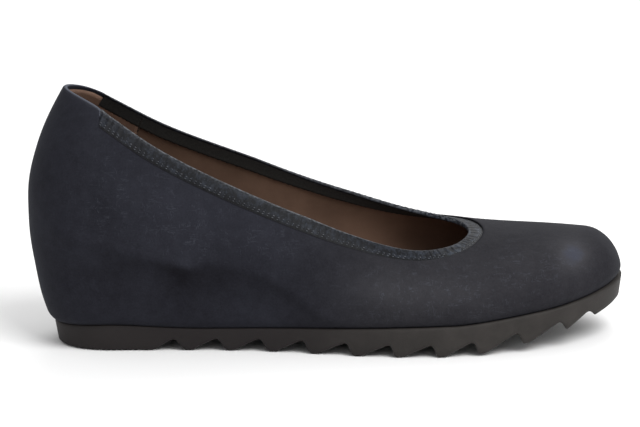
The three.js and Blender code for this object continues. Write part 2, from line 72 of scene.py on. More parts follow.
class Spline:
    """A natural cubic spline through the rows of a short table."""

    def __init__(self, xs: Sequence[float], ys: Sequence[float]) -> None:
        """Fits the spline.

        Args:
            xs: The keys, rising.
            ys: The values at the keys.
        """
        self.xs = np.array(xs, float)
        self.ys = np.array(ys, float)
        count = len(xs)
        system = np.eye(count)
        right = np.zeros(count)
        step = np.diff(self.xs)
        slope = np.diff(self.ys) / step
        for i in range(1, count - 1):
            system[i, i - 1 : i + 2] = step[i - 1], 2 * (step[i - 1] + step[i]), step[i]
            right[i] = 6 * (slope[i] - slope[i - 1])
        self.bend = np.linalg.solve(system, right)

    def __call__(self, value: Array) -> Array:
        """Reads the spline, held at its end values outside the table.

        Args:
            value: Where to read it.

        Returns:
            The spline's value there.
        """
        x = np.clip(value, self.xs[0], self.xs[-1])
        i = np.clip(np.searchsorted(self.xs, x) - 1, 0, len(self.xs) - 2)
        step = self.xs[i + 1] - self.xs[i]
        before = (self.xs[i + 1] - x) / step
        after = (x - self.xs[i]) / step
        cubic = (before**3 - before) * self.bend[i] + (after**3 - after) * self.bend[i + 1]
        return before * self.ys[i] + after * self.ys[i + 1] + cubic * step**2 / 6


def smoothstep(low: float, high: float, value: Array) -> Array:
    """A soft step from 0 at low to 1 at high."""
    t = np.clip((value - low) / (high - low), 0, 1)
    return t * t * (3 - 2 * t)


def unit(vectors: Array) -> Array:
    """The vectors at length 1."""
    return vectors / np.maximum(np.linalg.norm(vectors, axis=-1, keepdims=True), TINY)


def nearest(points: Array, line: Array) -> Array:
    """How far each point lies from the nearest point of a line."""
    away = np.full(len(points), np.inf)
    for spot in line:
        away = np.minimum(away, np.linalg.norm(points - spot, axis=1))
    return away


def points_along(points: Array, shares: Array) -> Array:
    """Points of a line at the given shares of its length.

    Args:
        points: The line's own points, one a row.
        shares: Shares of the length, from 0 to 1.

    Returns:
        One point for each share.
    """
    steps = np.linalg.norm(np.diff(points, axis=0), axis=1)
    reached = np.concatenate([[0], np.cumsum(steps)])
    wanted = shares * reached[-1]
    return np.stack([np.interp(wanted, reached, points[:, k]) for k in range(3)], axis=-1)


def closed_curve(points: Array, places: Array) -> Array:
    """A centripetal Catmull-Rom curve through a loop of points.

    Args:
        points: The loop's points.
        places: Where to read it, 0 to 1 for once round.

    Returns:
        The curve's points.
    """
    count = len(points)
    along = (places % 1.0) * count
    i = np.floor(along).astype(int)
    t = (along - i)[:, None]
    p0, p1, p2, p3 = (points[(i + k) % count] for k in (-1, 0, 1, 2))
    d0, d1, d2 = (
        np.sqrt(np.linalg.norm(b - a, axis=1, keepdims=True)) for a, b in ((p0, p1), (p1, p2), (p2, p3))
    )
    start = ((p1 - p0) / d0 - (p2 - p0) / (d0 + d1) + (p2 - p1) / d1) * d1
    end = ((p2 - p1) / d1 - (p3 - p1) / (d1 + d2) + (p3 - p2) / d2) * d1
    square = -3 * p1 + 3 * p2 - 2 * start - end
    cube = 2 * p1 - 2 * p2 + start + end
    return p1 + start * t + square * t**2 + cube * t**3


@dataclass
class Section:
    """One section of the last.

    Args:
        at: Share of the length.
        lateral: Half width on the outer side, in mm.
        medial: Half width on the inner side, in mm.
        ridge: Height of the top of the cone, in mm.
        shift: How far the ridge lies to the medial side, in mm.
        widest: Share of the height where the section is widest.
        tuck: How far the foot of the wall leans in, in mm.
        lateral_curve: Fullness of the outer half.
        medial_curve: Fullness of the inner half.
        core: Share of the upper section that faces straight out.
    """

    at: float
    lateral: float
    medial: float
    ridge: float
    shift: float
    widest: float
    tuck: float
    lateral_curve: float
    medial_curve: float
    core: float


@dataclass
class Last:
    """The form of the shoe: its walls, heel curve, outsole line, footbed and topline, in mm."""

    length: float = 252
    ball_width: float = 87
    heel_width: float = 62
    counter_height: float = 109.6
    instep_height: float = 61
    vamp_height: float = 45.6
    toe_box_height: float = 42.6
    heel_tuck: float = 8.4
    counter_lean: float = 16.4
    heel_round: float = 26
    toe_round: float = 37
    toe_cap_round: float = 15
    ridge_shift: float = 9
    wedge_tuck: float = 4.5
    feather_roll: float = 1.8
    feather_roll_height: float = 4
    heel_sole: float = 11.6
    waist_sole: float = 10.3
    ball_sole: float = 12.9
    toe_sole: float = 9.3
    toe_spring: float = 14.8
    spring_start: float = 178
    spring_power: float = 1.5
    throat_at: float = 186
    insole_thickness: float = 3.5
    wedge_lift: float = 34.5
    heel_plan_power: float = 2.2
    toe_plan_power: float = 2
    toe_cap_power: float = 2.1
    tuck_power: float = 1.5
    heel_core: float = 25
    toe_core: float = 34
    gap: float = 0.3
    splines: dict[str, Spline] = field(default_factory=dict)

    def __post_init__(self) -> None:
        """Fits a spline to each column of the tables."""
        sections = self.sections()
        keys = [row.at for row in sections]
        for name in list(vars(sections[0]))[1:]:
            self.splines[name] = Spline(keys, [getattr(row, name) for row in sections])
        back = [
            (0.08, 1.0, 0), (0.18, 0.57, 0), (0.3, 0.27, 0), (0.42, 0.05, 0), (0.53, 0, 0),
            (0.63, 0, 0.03), (0.74, 0, 0.2), (0.86, 0, 0.5), (1.0, 0, 1.0),
        ]
        curve = [tuck * self.heel_tuck + lean * self.counter_lean for _, tuck, lean in back]
        self.splines["back"] = Spline([up for up, _, _ in back], curve)
        sole = [
            (0.04, 0.85 * self.heel_sole, 0.1, 1), (0.12, self.heel_sole, 0.1, 1),
            (0.24, 1.01 * self.waist_sole, 0.2, 1), (0.36, self.waist_sole, 0.4, 0.8),
            (0.5, 1.1 * self.waist_sole, 0.8, 0.3), (0.66, self.ball_sole, 1, 0.1),
            (0.8, self.ball_sole, 1, 0.5), (0.9, 0.855 * self.ball_sole, 1.05, 0.8),
            (1.0, self.toe_sole, 1.15, 0.8),
        ]
        for column, name in enumerate(("sole", "ledge", "lean"), start=1):
            self.splines[name] = Spline([row[0] for row in sole], [row[column] for row in sole])
        bed = [(0, 1), (0.15, 0.97), (0.28, 0.84), (0.4, 0.54), (0.5, 0.22), (0.6, 0.03), (0.7, 0), (1, 0)]
        self.splines["bed"] = Spline([at for at, _ in bed], [lift for _, lift in bed])

    def sections(self) -> list[Section]:
        """The table of sections from the heel to the toe."""
        ball, heel = self.ball_width / 2, self.heel_width / 2
        tall, step, vamp, toe = self.counter_height, self.instep_height, self.vamp_height, self.toe_box_height
        shift, tuck = self.ridge_shift, self.wedge_tuck
        rows = [
            (0.0, heel, heel, 1.075 * tall, 0, 0.45, tuck, 2, 2, 0.86),
            (0.13, heel, heel, 1.03 * tall, 0, 0.45, tuck, 2, 2, 0.86),
            (0.28, 1.03 * heel, 0.985 * heel, 0.885 * tall, 0.16 * shift, 0.46, 0.9 * tuck, 2, 2, 0.8),
            (0.39, 0.775 * ball, 0.71 * ball, 0.766 * tall, 0.44 * shift, 0.42, 0.75 * tuck, 1.95, 2.05, 0.7),
            (0.49, 0.865 * ball, 0.775 * ball, 1.18 * step, 0.7 * shift, 0.32, 0.5 * tuck, 1.85, 2.1, 0.55),
            (0.58, 0.955 * ball, 0.865 * ball, step, 0.94 * shift, 0.26, 0.3 * tuck, 1.78, 2.1, 0.35),
            (0.67, ball, 0.945 * ball, 1.11 * vamp, 1.05 * shift, 0.25, 0.25 * tuck, 1.78, 2.1, 0.15),
            (0.77, 0.955 * ball, 0.96 * ball, vamp, shift, 0.25, 0.2 * tuck, 1.85, 2.15, 0.12),
            (0.87, 0.8 * ball, 0.87 * ball, 1.03 * toe, 0.94 * shift, 0.27, 0.15 * tuck, 2, 2.2, 0.12),
            (1.0, 0.62 * ball, 0.74 * ball, 0.985 * toe, 0.78 * shift, 0.3, 0.1 * tuck, 2.1, 2.2, 0.12),
        ]
        return [Section(*row) for row in rows]

    def topline_rows(self) -> list[tuple[float, float, float, float, float]]:
        """Rows of the topline: share of the way to the throat, lateral and medial half width as shares
        of the ball's, and lateral and medial height as shares of the counter's."""
        return [
            (0.0, 0, 0, 1, 1),
            (0.035, 0.29, 0.29, 0.976, 0.981),
            (0.096, 0.41, 0.41, 0.93, 0.934),
            (0.24, 0.53, 0.53, 0.783, 0.808),
            (0.457, 0.64, 0.6, 0.614, 0.672),
            (0.687, 0.68, 0.6, 0.469, 0.538),
            (0.86, 0.62, 0.5, 0.395, 0.432),
            (0.96, 0.39, 0.34, 0.394, 0.424),
            (1.0, 0.02, -0.02, 0.407, 0.407),
        ]

    def read(self, name: str, x: Array) -> Array:
        """Reads a column of a table at a place along the shoe."""
        return self.splines[name](x / self.length)

    def heel_curve(self, z: Array) -> Array:
        """How far the back of the shoe lies in front of its rearmost point at a height."""
        return self.splines["back"](z / self.counter_height)

    def tread(self, x: Array) -> Array:
        """Height of the tread's lowest points."""
        past = np.maximum(0, x - self.spring_start) / (self.length - self.spring_start)
        return self.toe_spring * past**self.spring_power

    def feather(self, x: Array) -> Array:
        """Height of the outsole's upper edge."""
        return self.tread(x) + self.read("sole", x)

    def bed(self, x: Array) -> Array:
        """Height of the footbed."""
        lift = self.wedge_lift * np.maximum(0, self.read("bed", x))
        return self.feather(x) + self.insole_thickness + lift

    def walls(self, x: Array, z: Array, inset: Array) -> tuple[Array, Array]:
        """Both walls of the last at a length and a height.

        Args:
            x: Places along the shoe.
            z: Heights.
            inset: How far the walls are moved in.

        Returns:
            The lateral and the medial y. Where there is no wall the first lies past the second.
        """
        feather = self.feather(x)
        above = np.clip((z - feather) / self.feather_roll_height, 0, 1)
        side = inset + self.feather_roll * (1 - above) ** 2
        from_heel = x - self.heel_curve(z) - side
        from_toe = self.length - side - x
        cap = round_end(from_toe, self.toe_cap_round, self.toe_cap_power)
        top = feather + (self.read("ridge", x) - feather) * cap - inset
        widest = feather + self.read("widest", x) * np.maximum(top - feather, TINY)
        ends = round_end(from_heel, self.heel_round, self.heel_plan_power)
        ends = ends * round_end(from_toe, self.toe_round, self.toe_plan_power)
        under = np.clip((widest - z) / np.maximum(widest - feather, TINY), 0, 1)
        lean = self.read("tuck", x) * under**self.tuck_power
        over = np.clip((z - widest) / np.maximum(top - widest, TINY), 0, 1)
        shift = self.read("shift", x)

        def reach(half: Array, power: Array) -> Array:
            """How far a wall lies from the ridge line."""
            return (half - side - lean) * ends * (1 - over**power) ** (1 / power)

        lateral = shift - reach(self.read("lateral", x) + shift, self.read("lateral_curve", x))
        medial = shift + reach(self.read("medial", x) - shift, self.read("medial_curve", x))
        none = (from_heel <= 0) | (from_toe <= 0) | (z >= top)
        return np.where(none, 1.0, lateral), np.where(none, 0.0, medial)

    def core_for(self, guide: Array) -> Array:
        """The point inside the last from which a guide point is seen square to the wall."""
        x = np.maximum(guide[..., 0], self.heel_curve(guide[..., 2]) + self.heel_core)
        x = np.minimum(x, self.length - self.toe_core)
        ridge, feather = self.read("ridge", x), self.feather(x)
        widest = feather + self.read("widest", x) * (ridge - feather)
        z = np.minimum(guide[..., 2], widest + self.read("core", x) * (ridge - widest))
        lateral, medial = self.walls(x, z, np.zeros_like(x))
        return np.stack([x, (lateral + medial) / 2, z], axis=-1)

    def cast(self, guide: Array, inset: Array) -> Array:
        """The points of the wall on rays from the core through guide points.

        Args:
            guide: Guide points, in the last array axis.
            inset: How far the wall is moved in, one for each guide point.

        Returns:
            Points on the wall.
        """
        core = self.core_for(guide)
        ray = unit(guide - core)
        near = np.zeros(guide.shape[:-1])
        far = np.full(guide.shape[:-1], float(self.ball_width))
        for _ in range(HALVINGS):
            middle = (near + far) / 2
            point = core + ray * middle[..., None]
            lateral, medial = self.walls(point[..., 0], point[..., 2], inset)
            inside = (point[..., 1] > lateral) & (point[..., 1] < medial)
            near = np.where(inside, middle, near)
            far = np.where(inside, far, middle)
        return core + ray * near[..., None]

    def level(
        self, shares: Array, height: Reading, wall_height: Reading, inset: Reading
    ) -> tuple[Array, Array]:
        """Both walls on a level, from its rear end to its front end, where they meet.

        Args:
            shares: Shares of the way along the level.
            height: Height of the level along the shoe.
            wall_height: Height at which the walls are read.
            inset: How far in the walls are read.

        Returns:
            The lateral and the medial points.
        """
        ends = []
        for outside in (-0.1 * self.length, 1.1 * self.length):
            near, far = 0.5 * self.length, outside
            for _ in range(HALVINGS):
                middle = np.array((near + far) / 2)
                lateral, medial = self.walls(middle, wall_height(middle), inset(middle))
                if lateral < medial:
                    near = float(middle)
                else:
                    far = float(middle)
            ends.append(near)
        x = ends[0] + (ends[1] - ends[0]) * shares
        lateral, medial = self.walls(x, wall_height(x), inset(x))
        pinched = (shares <= 0) | (shares >= 1) | (lateral > medial)
        shift = self.read("shift", x)
        lateral, medial = np.where(pinched, shift, lateral), np.where(pinched, shift, medial)
        z = height(x)
        return np.stack([x, lateral, z], axis=-1), np.stack([x, medial, z], axis=-1)

    def topline(self, side: Side, samples: int = 640) -> Array:
        """The topline on one side, from the heel tab to the throat."""
        start = self.counter_lean

        def point(row: tuple[float, float, float, float, float], which: Side) -> list[float]:
            """One row as a point."""
            at, lateral_out, medial_out, lateral_up, medial_up = row
            out = -lateral_out if which is Side.LATERAL else medial_out
            rise = lateral_up if which is Side.LATERAL else medial_up
            x = start + at * (self.throat_at - start)
            return [x, out * self.ball_width / 2, rise * self.counter_height]

        rows = self.topline_rows()
        loop = [point(row, Side.LATERAL) for row in rows]
        loop += [point(row, Side.MEDIAL) for row in reversed(rows[1:-1])]
        half = np.linspace(0, 0.5, samples + 1)
        guide = closed_curve(np.array(loop), half if side is Side.LATERAL else 1 - half)
        return self.cast(guide, np.zeros(len(guide)))

    def feather_line(self, side: Side, samples: int = 640) -> Array:
        """The line where the upper meets the outsole on one side, from the heel to the toe."""
        shares = ended_shares(samples)
        lateral, medial = self.level(
            shares, lambda x: self.feather(x) + self.gap, self.feather, np.zeros_like
        )
        return lateral if side is Side.LATERAL else medial


def round_end(distance: Array, radius: float, power: float) -> Array:
    """A quarter of an ellipse: 0 at the end of the shoe, 1 from the radius on."""
    left = np.clip(1 - distance / radius, 0, 1)
    return (1 - left**power) ** (1 / power)


def ended_shares(count: int) -> Array:
    """Shares of a length that lie close together at both ends."""
    shares = (1 - np.cos(np.pi * np.arange(count + 1) / count)) / 2
    shares[-1] = 1
    return shares


@dataclass
class Columns:
    """Columns of the upper's wall, all round the shoe or along its open topline.

    Args:
        last: The form of the shoe.
        spacing: Distance between columns along the topline, in mm.
        opened: Whether the columns at the heel tab are left out.
        lead: How far open columns reach under the heel tab, in mm.
        samples: How many points measure each column.
    """

    last: Last
    spacing: float = 1.1
    opened: bool = False
    lead: float = 0.0
    samples: int = 28
    tab_share: float = 0.135
    step_width: float = 3.4
    step_spacing: float = 0.24
    toe_fan: float = 2.6
    square_share: float = 0.3
    topline_length: float = 198

    def __post_init__(self) -> None:
        """Places the columns and measures them."""
        foot_shares = self._foot_shares()
        past = np.maximum(0, foot_shares - self.tab_share) / (1 - self.tab_share)
        top_shares = foot_shares + self.toe_fan * past**2 * (1 - past) ** 2
        tops, feet, shares = [], [], []
        for side in Side:
            top = points_along(self.last.topline(side), top_shares)
            foot = points_along(self.last.feather_line(side), foot_shares)
            if side is Side.MEDIAL:
                keep = slice(-2, 0 if not self.opened else None, -1)
                top, foot, part = top[keep], foot[keep], foot_shares[keep]
            else:
                part = foot_shares
            tops.append(top)
            feet.append(foot)
            shares.append(part)
        self.top, self.foot = np.concatenate(tops), np.concatenate(feet)
        self.share = np.concatenate(shares)
        along = np.roll(self.top, -1, axis=0) - np.roll(self.top, 1, axis=0)
        if self.opened:
            along[0] = self.top[1] - self.top[0]
            along[-1] = self.top[-1] - self.top[-2]
        drop = self.foot - self.top
        square = unit(np.cross(along, self.top - self.last.core_for(self.top)))
        square *= np.sign(np.sum(square * drop, axis=1, keepdims=True))
        self.bend = self.top + square * self.square_share * np.linalg.norm(drop, axis=1, keepdims=True)
        steps = np.linspace(0, 1, self.samples + 1)[None, :].repeat(len(self.top), 0)
        wall = self._cast(steps, np.zeros_like(steps))
        lengths = np.linalg.norm(np.diff(wall, axis=1), axis=2)
        self.reached = np.concatenate([np.zeros((len(self.top), 1)), np.cumsum(lengths, axis=1)], axis=1)
        self.height = self.reached[:, -1]
        self.run = np.concatenate([[0], np.cumsum(np.linalg.norm(np.diff(self.top, axis=0), axis=1))])

    def _foot_shares(self) -> Array:
        """Shares of the outsole's edge where columns stand, dense at the step of the heel tab."""
        half = self.step_width / self.topline_length / 2
        low, high = self.tab_share - half, self.tab_share + half
        step = self.spacing / self.topline_length
        dense = np.linspace(low, high, int(round(self.step_width / self.step_spacing)) + 1)
        after = np.linspace(high, 1, int(math.ceil((1 - high) / step)) + 1)[1:]
        if self.opened:
            start = self.tab_share - self.lead / self.topline_length
            return np.concatenate([[start], dense[dense > start + TINY], after])
        before = np.linspace(0, low, int(math.ceil(low / step)) + 1)[:-1]
        return np.concatenate([before, dense, after])

    def _cast(self, share: Array, inset: Array) -> Array:
        """Points at shares of each column's guide curve, a row of them for each column."""
        t = share[..., None]
        top, bend, foot = self.top[:, None], self.bend[:, None], self.foot[:, None]
        guide = (1 - t) ** 2 * top + 2 * t * (1 - t) * bend + t**2 * foot
        return self.last.cast(guide, inset)

    def at(self, below: Array, inset: Array) -> Array:
        """Points of the wall, a row of them for each column.

        Args:
            below: Distances down from the topline.
            inset: How far in from the outer face.

        Returns:
            The points, by column and then by distance.
        """
        steps = np.linspace(0, 1, self.samples + 1)
        share = np.stack([np.interp(row, known, steps) for row, known in zip(below, self.reached)])
        return self._cast(share, inset)

    def tabness(self, softness: float = 1.2) -> Array:
        """1 along the heel tab and 0 along the bound topline, with a short step between."""
        past = (self.share - self.tab_share) * self.topline_length
        return 1 - smoothstep(-softness, softness, past)


def rings_to_mesh(
    name: str, rings: Array, looped: bool, origin: Array, cap: bool = False
) -> bpy.types.Object:
    """Makes a closed, smooth-shaded mesh from equal rings of points.

    Args:
        name: The piece's name.
        rings: Points by ring and then around each ring, in mm.
        looped: Whether the last ring joins the first.
        origin: The last's origin in the model's frame, in mm.
        cap: Whether the end rings are filled.

    Returns:
        The object, with a UV map of millimetres along the rings and around them.
    """
    count, around = rings.shape[:2]
    mesh = bpy.data.meshes.new(name)
    points = (rings.reshape(-1, 3) + origin) * METRES
    ring = np.arange(count if looped else count - 1)[:, None]
    place = np.arange(around)[None, :]
    here, ahead = ring * around, (ring + 1) % count * around
    nextto = (place + 1) % around
    quads = np.stack([here + place, ahead + place, ahead + nextto, here + nextto], axis=-1).reshape(-1, 4)
    faces = quads.tolist()
    if cap:
        faces.append(list(range(around)))
        faces.append(list(range((count - 1) * around, count * around))[::-1])
    mesh.from_pydata(points.tolist(), [], faces)
    run = np.concatenate([[0], np.cumsum(np.linalg.norm(np.diff(rings, axis=0), axis=2).mean(axis=1))])
    girth = np.concatenate([[0], np.cumsum(np.linalg.norm(np.diff(rings, axis=1), axis=2).mean(axis=0))])
    layer = mesh.uv_layers.new(name="millimetres")
    verts = np.array([loop.vertex_index for loop in mesh.loops])
    uv = np.stack([run[verts // around], girth[verts % around]], axis=-1)
    layer.data.foreach_set("uv", uv.astype(np.float32).ravel())
    bm = bmesh.new()
    bm.from_mesh(mesh)
    bmesh.ops.remove_doubles(bm, verts=bm.verts, dist=1e-7)
    bmesh.ops.recalc_face_normals(bm, faces=bm.faces)
    bm.to_mesh(mesh)
    bm.free()
    mesh.shade_smooth()
    piece = bpy.data.objects.new(name, mesh)
    bpy.context.scene.collection.objects.link(piece)
    return piece


class Nodes:
    """A thin helper that adds and links shader or geometry nodes."""

    def __init__(self, tree: bpy.types.NodeTree) -> None:
        """Starts on an empty tree."""
        self.tree = tree

    def add(self, kind: str, **settings: object) -> bpy.types.Node:
        """Adds a node.

        Args:
            kind: The node's type.
            **settings: Attributes of the node, or inputs when the name starts with "in_", where a
                digit after it is the input's index.

        Returns:
            The node.
        """
        node = self.tree.nodes.new(kind)
        for name, value in settings.items():
            if not name.startswith("in_"):
                setattr(node, name, value)
        for name, value in settings.items():
            if name.startswith("in_"):
                key = name[3:]
                socket = node.inputs[int(key)] if key.isdigit() else node.inputs[key.replace("_", " ")]
                if isinstance(value, bpy.types.NodeSocket):
                    self.tree.links.new(value, socket)
                else:
                    socket.default_value = value
        return node

    def math(self, operation: str, a: object, b: object = 0.0, clamp: bool = False) -> bpy.types.NodeSocket:
        """Adds a math node and returns its result."""
        return self.add("ShaderNodeMath", operation=operation, use_clamp=clamp, in_0=a, in_1=b).outputs[0]

    def ramp(self, value: object, low: float, high: float) -> bpy.types.NodeSocket:
        """Maps a value smoothly to 0 at low and 1 at high."""
        node = self.add("ShaderNodeMapRange", interpolation_type="SMOOTHSTEP", in_Value=value)
        node.inputs["From Min"].default_value = low
        node.inputs["From Max"].default_value = high
        return node.outputs["Result"]

    def mix(self, share: object, first: object, second: object) -> bpy.types.NodeSocket:
        """Mixes two colours."""
        node = self.add("ShaderNodeMix", data_type="RGBA", in_0=share)
        for index, colour in ((6, first), (7, second)):
            if isinstance(colour, bpy.types.NodeSocket):
                self.tree.links.new(colour, node.inputs[index])
            else:
                node.inputs[index].default_value = (*colour, 1)
        return node.outputs[2]

    def noise(
        self, where: object, scale: float, detail: float = 3, roughness: float = 0.55
    ) -> bpy.types.NodeSocket:
        """Adds a noise texture and returns its value."""
        node = self.add("ShaderNodeTexNoise", in_Vector=where, in_Scale=scale, in_Detail=detail)
        node.inputs["Roughness"].default_value = roughness
        return node.outputs["Fac"]

    def attribute(self, name: str) -> bpy.types.NodeSocket:
        """Reads a painted attribute of the mesh."""
        return self.add("ShaderNodeAttribute", attribute_name=name).outputs["Fac"]

    def along(self, where: object) -> bpy.types.NodeSocket:
        """The place along the shoe, in metres."""
        return self.add("ShaderNodeSeparateXYZ", in_0=where).outputs[0]

    def surface(
        self, shader: bpy.types.Node, colour: object, height: object, strength: float, depth: float
    ) -> None:
        """Links a shader's colour and bump.

        Args:
            shader: The principled shader.
            colour: The colour.
            height: The bump's height.
            strength: The bump's strength.
            depth: The bump's depth, in metres.
        """
        bump = self.add("ShaderNodeBump", in_Height=height, in_Strength=strength, in_Distance=depth)
        self.tree.links.new(colour, shader.inputs["Base Color"])
        self.tree.links.new(bump.outputs[0], shader.inputs["Normal"])


def new_material(name: str) -> tuple[bpy.types.Material, Nodes, bpy.types.Node]:
    """Makes a material with a principled shader.

    Args:
        name: The material's name.

    Returns:
        The material, its node helper and its shader node.
    """
    material = bpy.data.materials.new(name)
    material.use_nodes = True
    shader = next(node for node in material.node_tree.nodes if node.type == "BSDF_PRINCIPLED")
    return material, Nodes(material.node_tree), shader


@dataclass(frozen=True)
class SoftFold:
    """A soft ridge or trough of the nubuck on one quarter.

    Args:
        path: Places along the shoe and heights, in mm.
        width: Half width, in mm.
        height: How far it stands out, or sinks in where negative, in mm.
        medial: Whether it lies on the medial side.
    """

    path: tuple[tuple[float, float], ...]
    width: float
    height: float
    medial: bool = False

    def relief(self, points: Array) -> Array:
        """The fold's height at points of the wall."""
        line = points_along(np.array([(x, 0.0, z) for x, z in self.path]), np.linspace(0, 1, 48))[:, [0, 2]]
        flat = points[..., [0, 2]].reshape(-1, 2)
        away = np.full(len(flat), np.inf)
        for spot in line:
            away = np.minimum(away, np.hypot(flat[:, 0] - spot[0], flat[:, 1] - spot[1]))
        relief = self.height * np.exp(-((away / self.width) ** 2)).reshape(points.shape[:-1])
        on_side = points[..., 1] > 0 if self.medial else points[..., 1] < 0
        return np.where(on_side, relief, 0)


@dataclass(frozen=True)
class NapAndLightPatch:
    """A place painted lighter or darker: mostly brushed patches of the pile, and on a few of them a painted
    highlight or painted shade.

    Args:
        x: Place along the shoe, in mm from the heel.
        z: Height, in mm.
        long: Half length, in mm.
        tall: Half height, in mm.
        light: How much lighter the nap lies, or darker where negative.
        scuffed: How thickly fine scratches lie there.
        fades_by: Over what width it fades towards the inner side, in mm.
    """

    x: float
    z: float
    long: float
    tall: float
    light: float
    scuffed: float = 0.0
    fades_by: float = 14

    def share(self, points: Array) -> Array:
        """How far points of the wall lie in the patch: 1 in its middle on the outer side, 0 outside."""
        across = (points[..., 0] - self.x) / self.long
        up = (points[..., 2] - self.z) / self.tall
        outer = 0.12 + 0.88 * smoothstep(self.fades_by, -self.fades_by, points[..., 1] + self.fades_by)
        return np.exp(-(across**2 + up**2)) * outer


@dataclass(frozen=True)
class Nubuck:
    """Dark navy nubuck: a short pile with brushed patches, fine scratches and a soft sheen, with painted
    highlights on the toe's shoulder and along the heel tab's roll, and painted shade under the wedge's
    crease, under the strip and along the foot of the wall.
    """

    deep: tuple[float, float, float] = (0.0045, 0.0043, 0.0066)
    brushed_heel: tuple[float, float, float] = (0.027, 0.0285, 0.0385)
    brushed_toe: tuple[float, float, float] = (0.033, 0.0325, 0.037)
    # Painted highlight colour: blue-grey light on the toe's shoulder, mixed in where the painted tone runs
    # past 0.85.
    painted_highlight: tuple[float, float, float] = (0.036, 0.0385, 0.052)
    # Painted highlight colour for the top of the heel tab's roll.
    rim_highlight: tuple[float, float, float] = (0.066, 0.072, 0.09)
    scratch: tuple[float, float, float] = (0.055, 0.06, 0.075)
    scratch_strength: float = 0.3
    ground: float = 0.36
    # Width of the painted shade along the hide's fold under the strip and along the foot of the wall, in mm.
    groove_shade_width: float = 0.8
    patches: tuple[NapAndLightPatch, ...] = (
        NapAndLightPatch(60, 64, 20, 15, 0.13, 0.9),
        NapAndLightPatch(40, 88, 12, 16, 0.03, 0.5),
        NapAndLightPatch(68, 50, 10, 10, 0.12, 0.8),
        # Painted highlight: a small light spot on the ridge above the wedge's crease.
        NapAndLightPatch(67, 42, 3, 5, 0.2, 0.3),
        NapAndLightPatch(33, 66, 9, 12, -0.1, 1.0),
        NapAndLightPatch(26, 32, 14, 13, -0.1),
        NapAndLightPatch(100, 50, 22, 12, 0.1, 0.7),
        NapAndLightPatch(95, 18, 22, 8, 0.08),
        NapAndLightPatch(150, 28, 18, 9, 0.42, 1.5),
        NapAndLightPatch(178, 27, 20, 9, 0.3, 1.4),
        NapAndLightPatch(204, 33, 16, 9, 0.1, 0.9),
        NapAndLightPatch(200, 47, 20, 6, -0.3, 0.3),
        # Painted highlight on the toe's shoulder. Its tone runs into the painted highlight colour.
        NapAndLightPatch(230, 40, 7, 6, 1.15, 0.9),
        NapAndLightPatch(222, 38, 14, 10, 0.16, 0.6),
        # Painted shade on the front of the toe, which faces away from the key light.
        NapAndLightPatch(244, 33, 7, 12, -0.12, 0.2),
    )

    def paint(
        self, mesh: bpy.types.Mesh, last: Last, origin: Array, crease: SoftFold, shaded_fold_line: Array
    ) -> None:
        """Paints the tone, with its brushed patches, painted highlights and painted shade, and the scratches
        on a mesh's points.

        Args:
            mesh: The shell's mesh.
            last: The form of the shoe.
            origin: The last's origin in the model's frame, in mm.
            crease: The wedge's upper edge, under which the wall is painted darker as shade.
            shaded_fold_line: The hide's folded edge along the strip, along which a dark line of painted shade
                lies.
        """
        points = np.array([tuple(v.co) for v in mesh.vertices]) / METRES - origin
        light = np.full(len(points), self.ground)
        scuffed = np.full(len(points), 0.15)
        for patch in self.patches:
            share = patch.share(points)
            light += patch.light * share
            scuffed += patch.scuffed * share
        # Painted shade under the wedge's crease, on both sides, where the wall turns in and away from the
        # light, darkest under its sharp part near 65 mm. Fewer scratches lie there too.
        path = np.array(crease.path)
        edge = np.interp(points[:, 0], path[:, 0], path[:, 1])
        soft = np.interp(points[:, 0], [30, 58, 70, 90, 120], [5, 1.6, 1.4, 4, 5])
        under = 1 / (1 + np.exp(np.clip((points[:, 2] - edge) / soft * 2, -30, 30)))
        reach = smoothstep(22, 44, points[:, 0]) * smoothstep(150, 105, points[:, 0])
        scuffed *= 1 - 0.85 * under * reach
        under *= np.exp(np.clip(points[:, 2] - edge, -60, 0) / 13)
        core = np.exp(-(((points[:, 0] - 65) / 10) ** 2))
        # Painted shade under the crease.
        light -= (0.22 + 0.22 * core) * under * reach
        # Painted shade: a dark line under the strip along the hide's folded edge, where the strip stands
        # proud. Scratches fade out near it.
        near = nearest(points, shaded_fold_line)
        light -= 0.7 * smoothstep(self.groove_shade_width, 0.3 * self.groove_shade_width, near)
        # Painted shade: a dark line along the foot of the wall, where it tucks in against the outsole.
        foot = points[:, 2] - last.feather(points[:, 0]) - last.gap
        light -= 0.6 * smoothstep(0.7 * self.groove_shade_width, 0.1 * self.groove_shade_width, foot)
        scuffed *= smoothstep(0.5 * self.groove_shade_width, 2 * self.groove_shade_width, near)
        # nap_and_light holds the brushed tone together with the painted highlights and painted shade.
        for name, values in (("nap_and_light", light), ("scuffed", scuffed)):
            mesh.attributes.new(name, "FLOAT", "POINT").data.foreach_set("value", values.astype(np.float32))

    def build(self) -> bpy.types.Material:
        """Builds the material."""
        material, nodes, shader = new_material("navy_nubuck")
        where = nodes.add("ShaderNodeTexCoord").outputs["Object"]
        tone = nodes.attribute("nap_and_light")
        for scale, detail, amount in ((60, 4, 0.4), (260, 3, 0.3), (1300, 2, 0.34)):
            cloud = nodes.math("SUBTRACT", nodes.noise(where, scale, detail, 0.6), 0.5)
            tone = nodes.math("ADD", tone, nodes.math("MULTIPLY", cloud, amount))
        towards_toe = nodes.ramp(nodes.along(where), -0.03, 0.03)
        brushed = nodes.mix(towards_toe, self.brushed_heel, self.brushed_toe)
        colour = nodes.mix(nodes.math("MAXIMUM", tone, 0.0, clamp=True), self.deep, brushed)
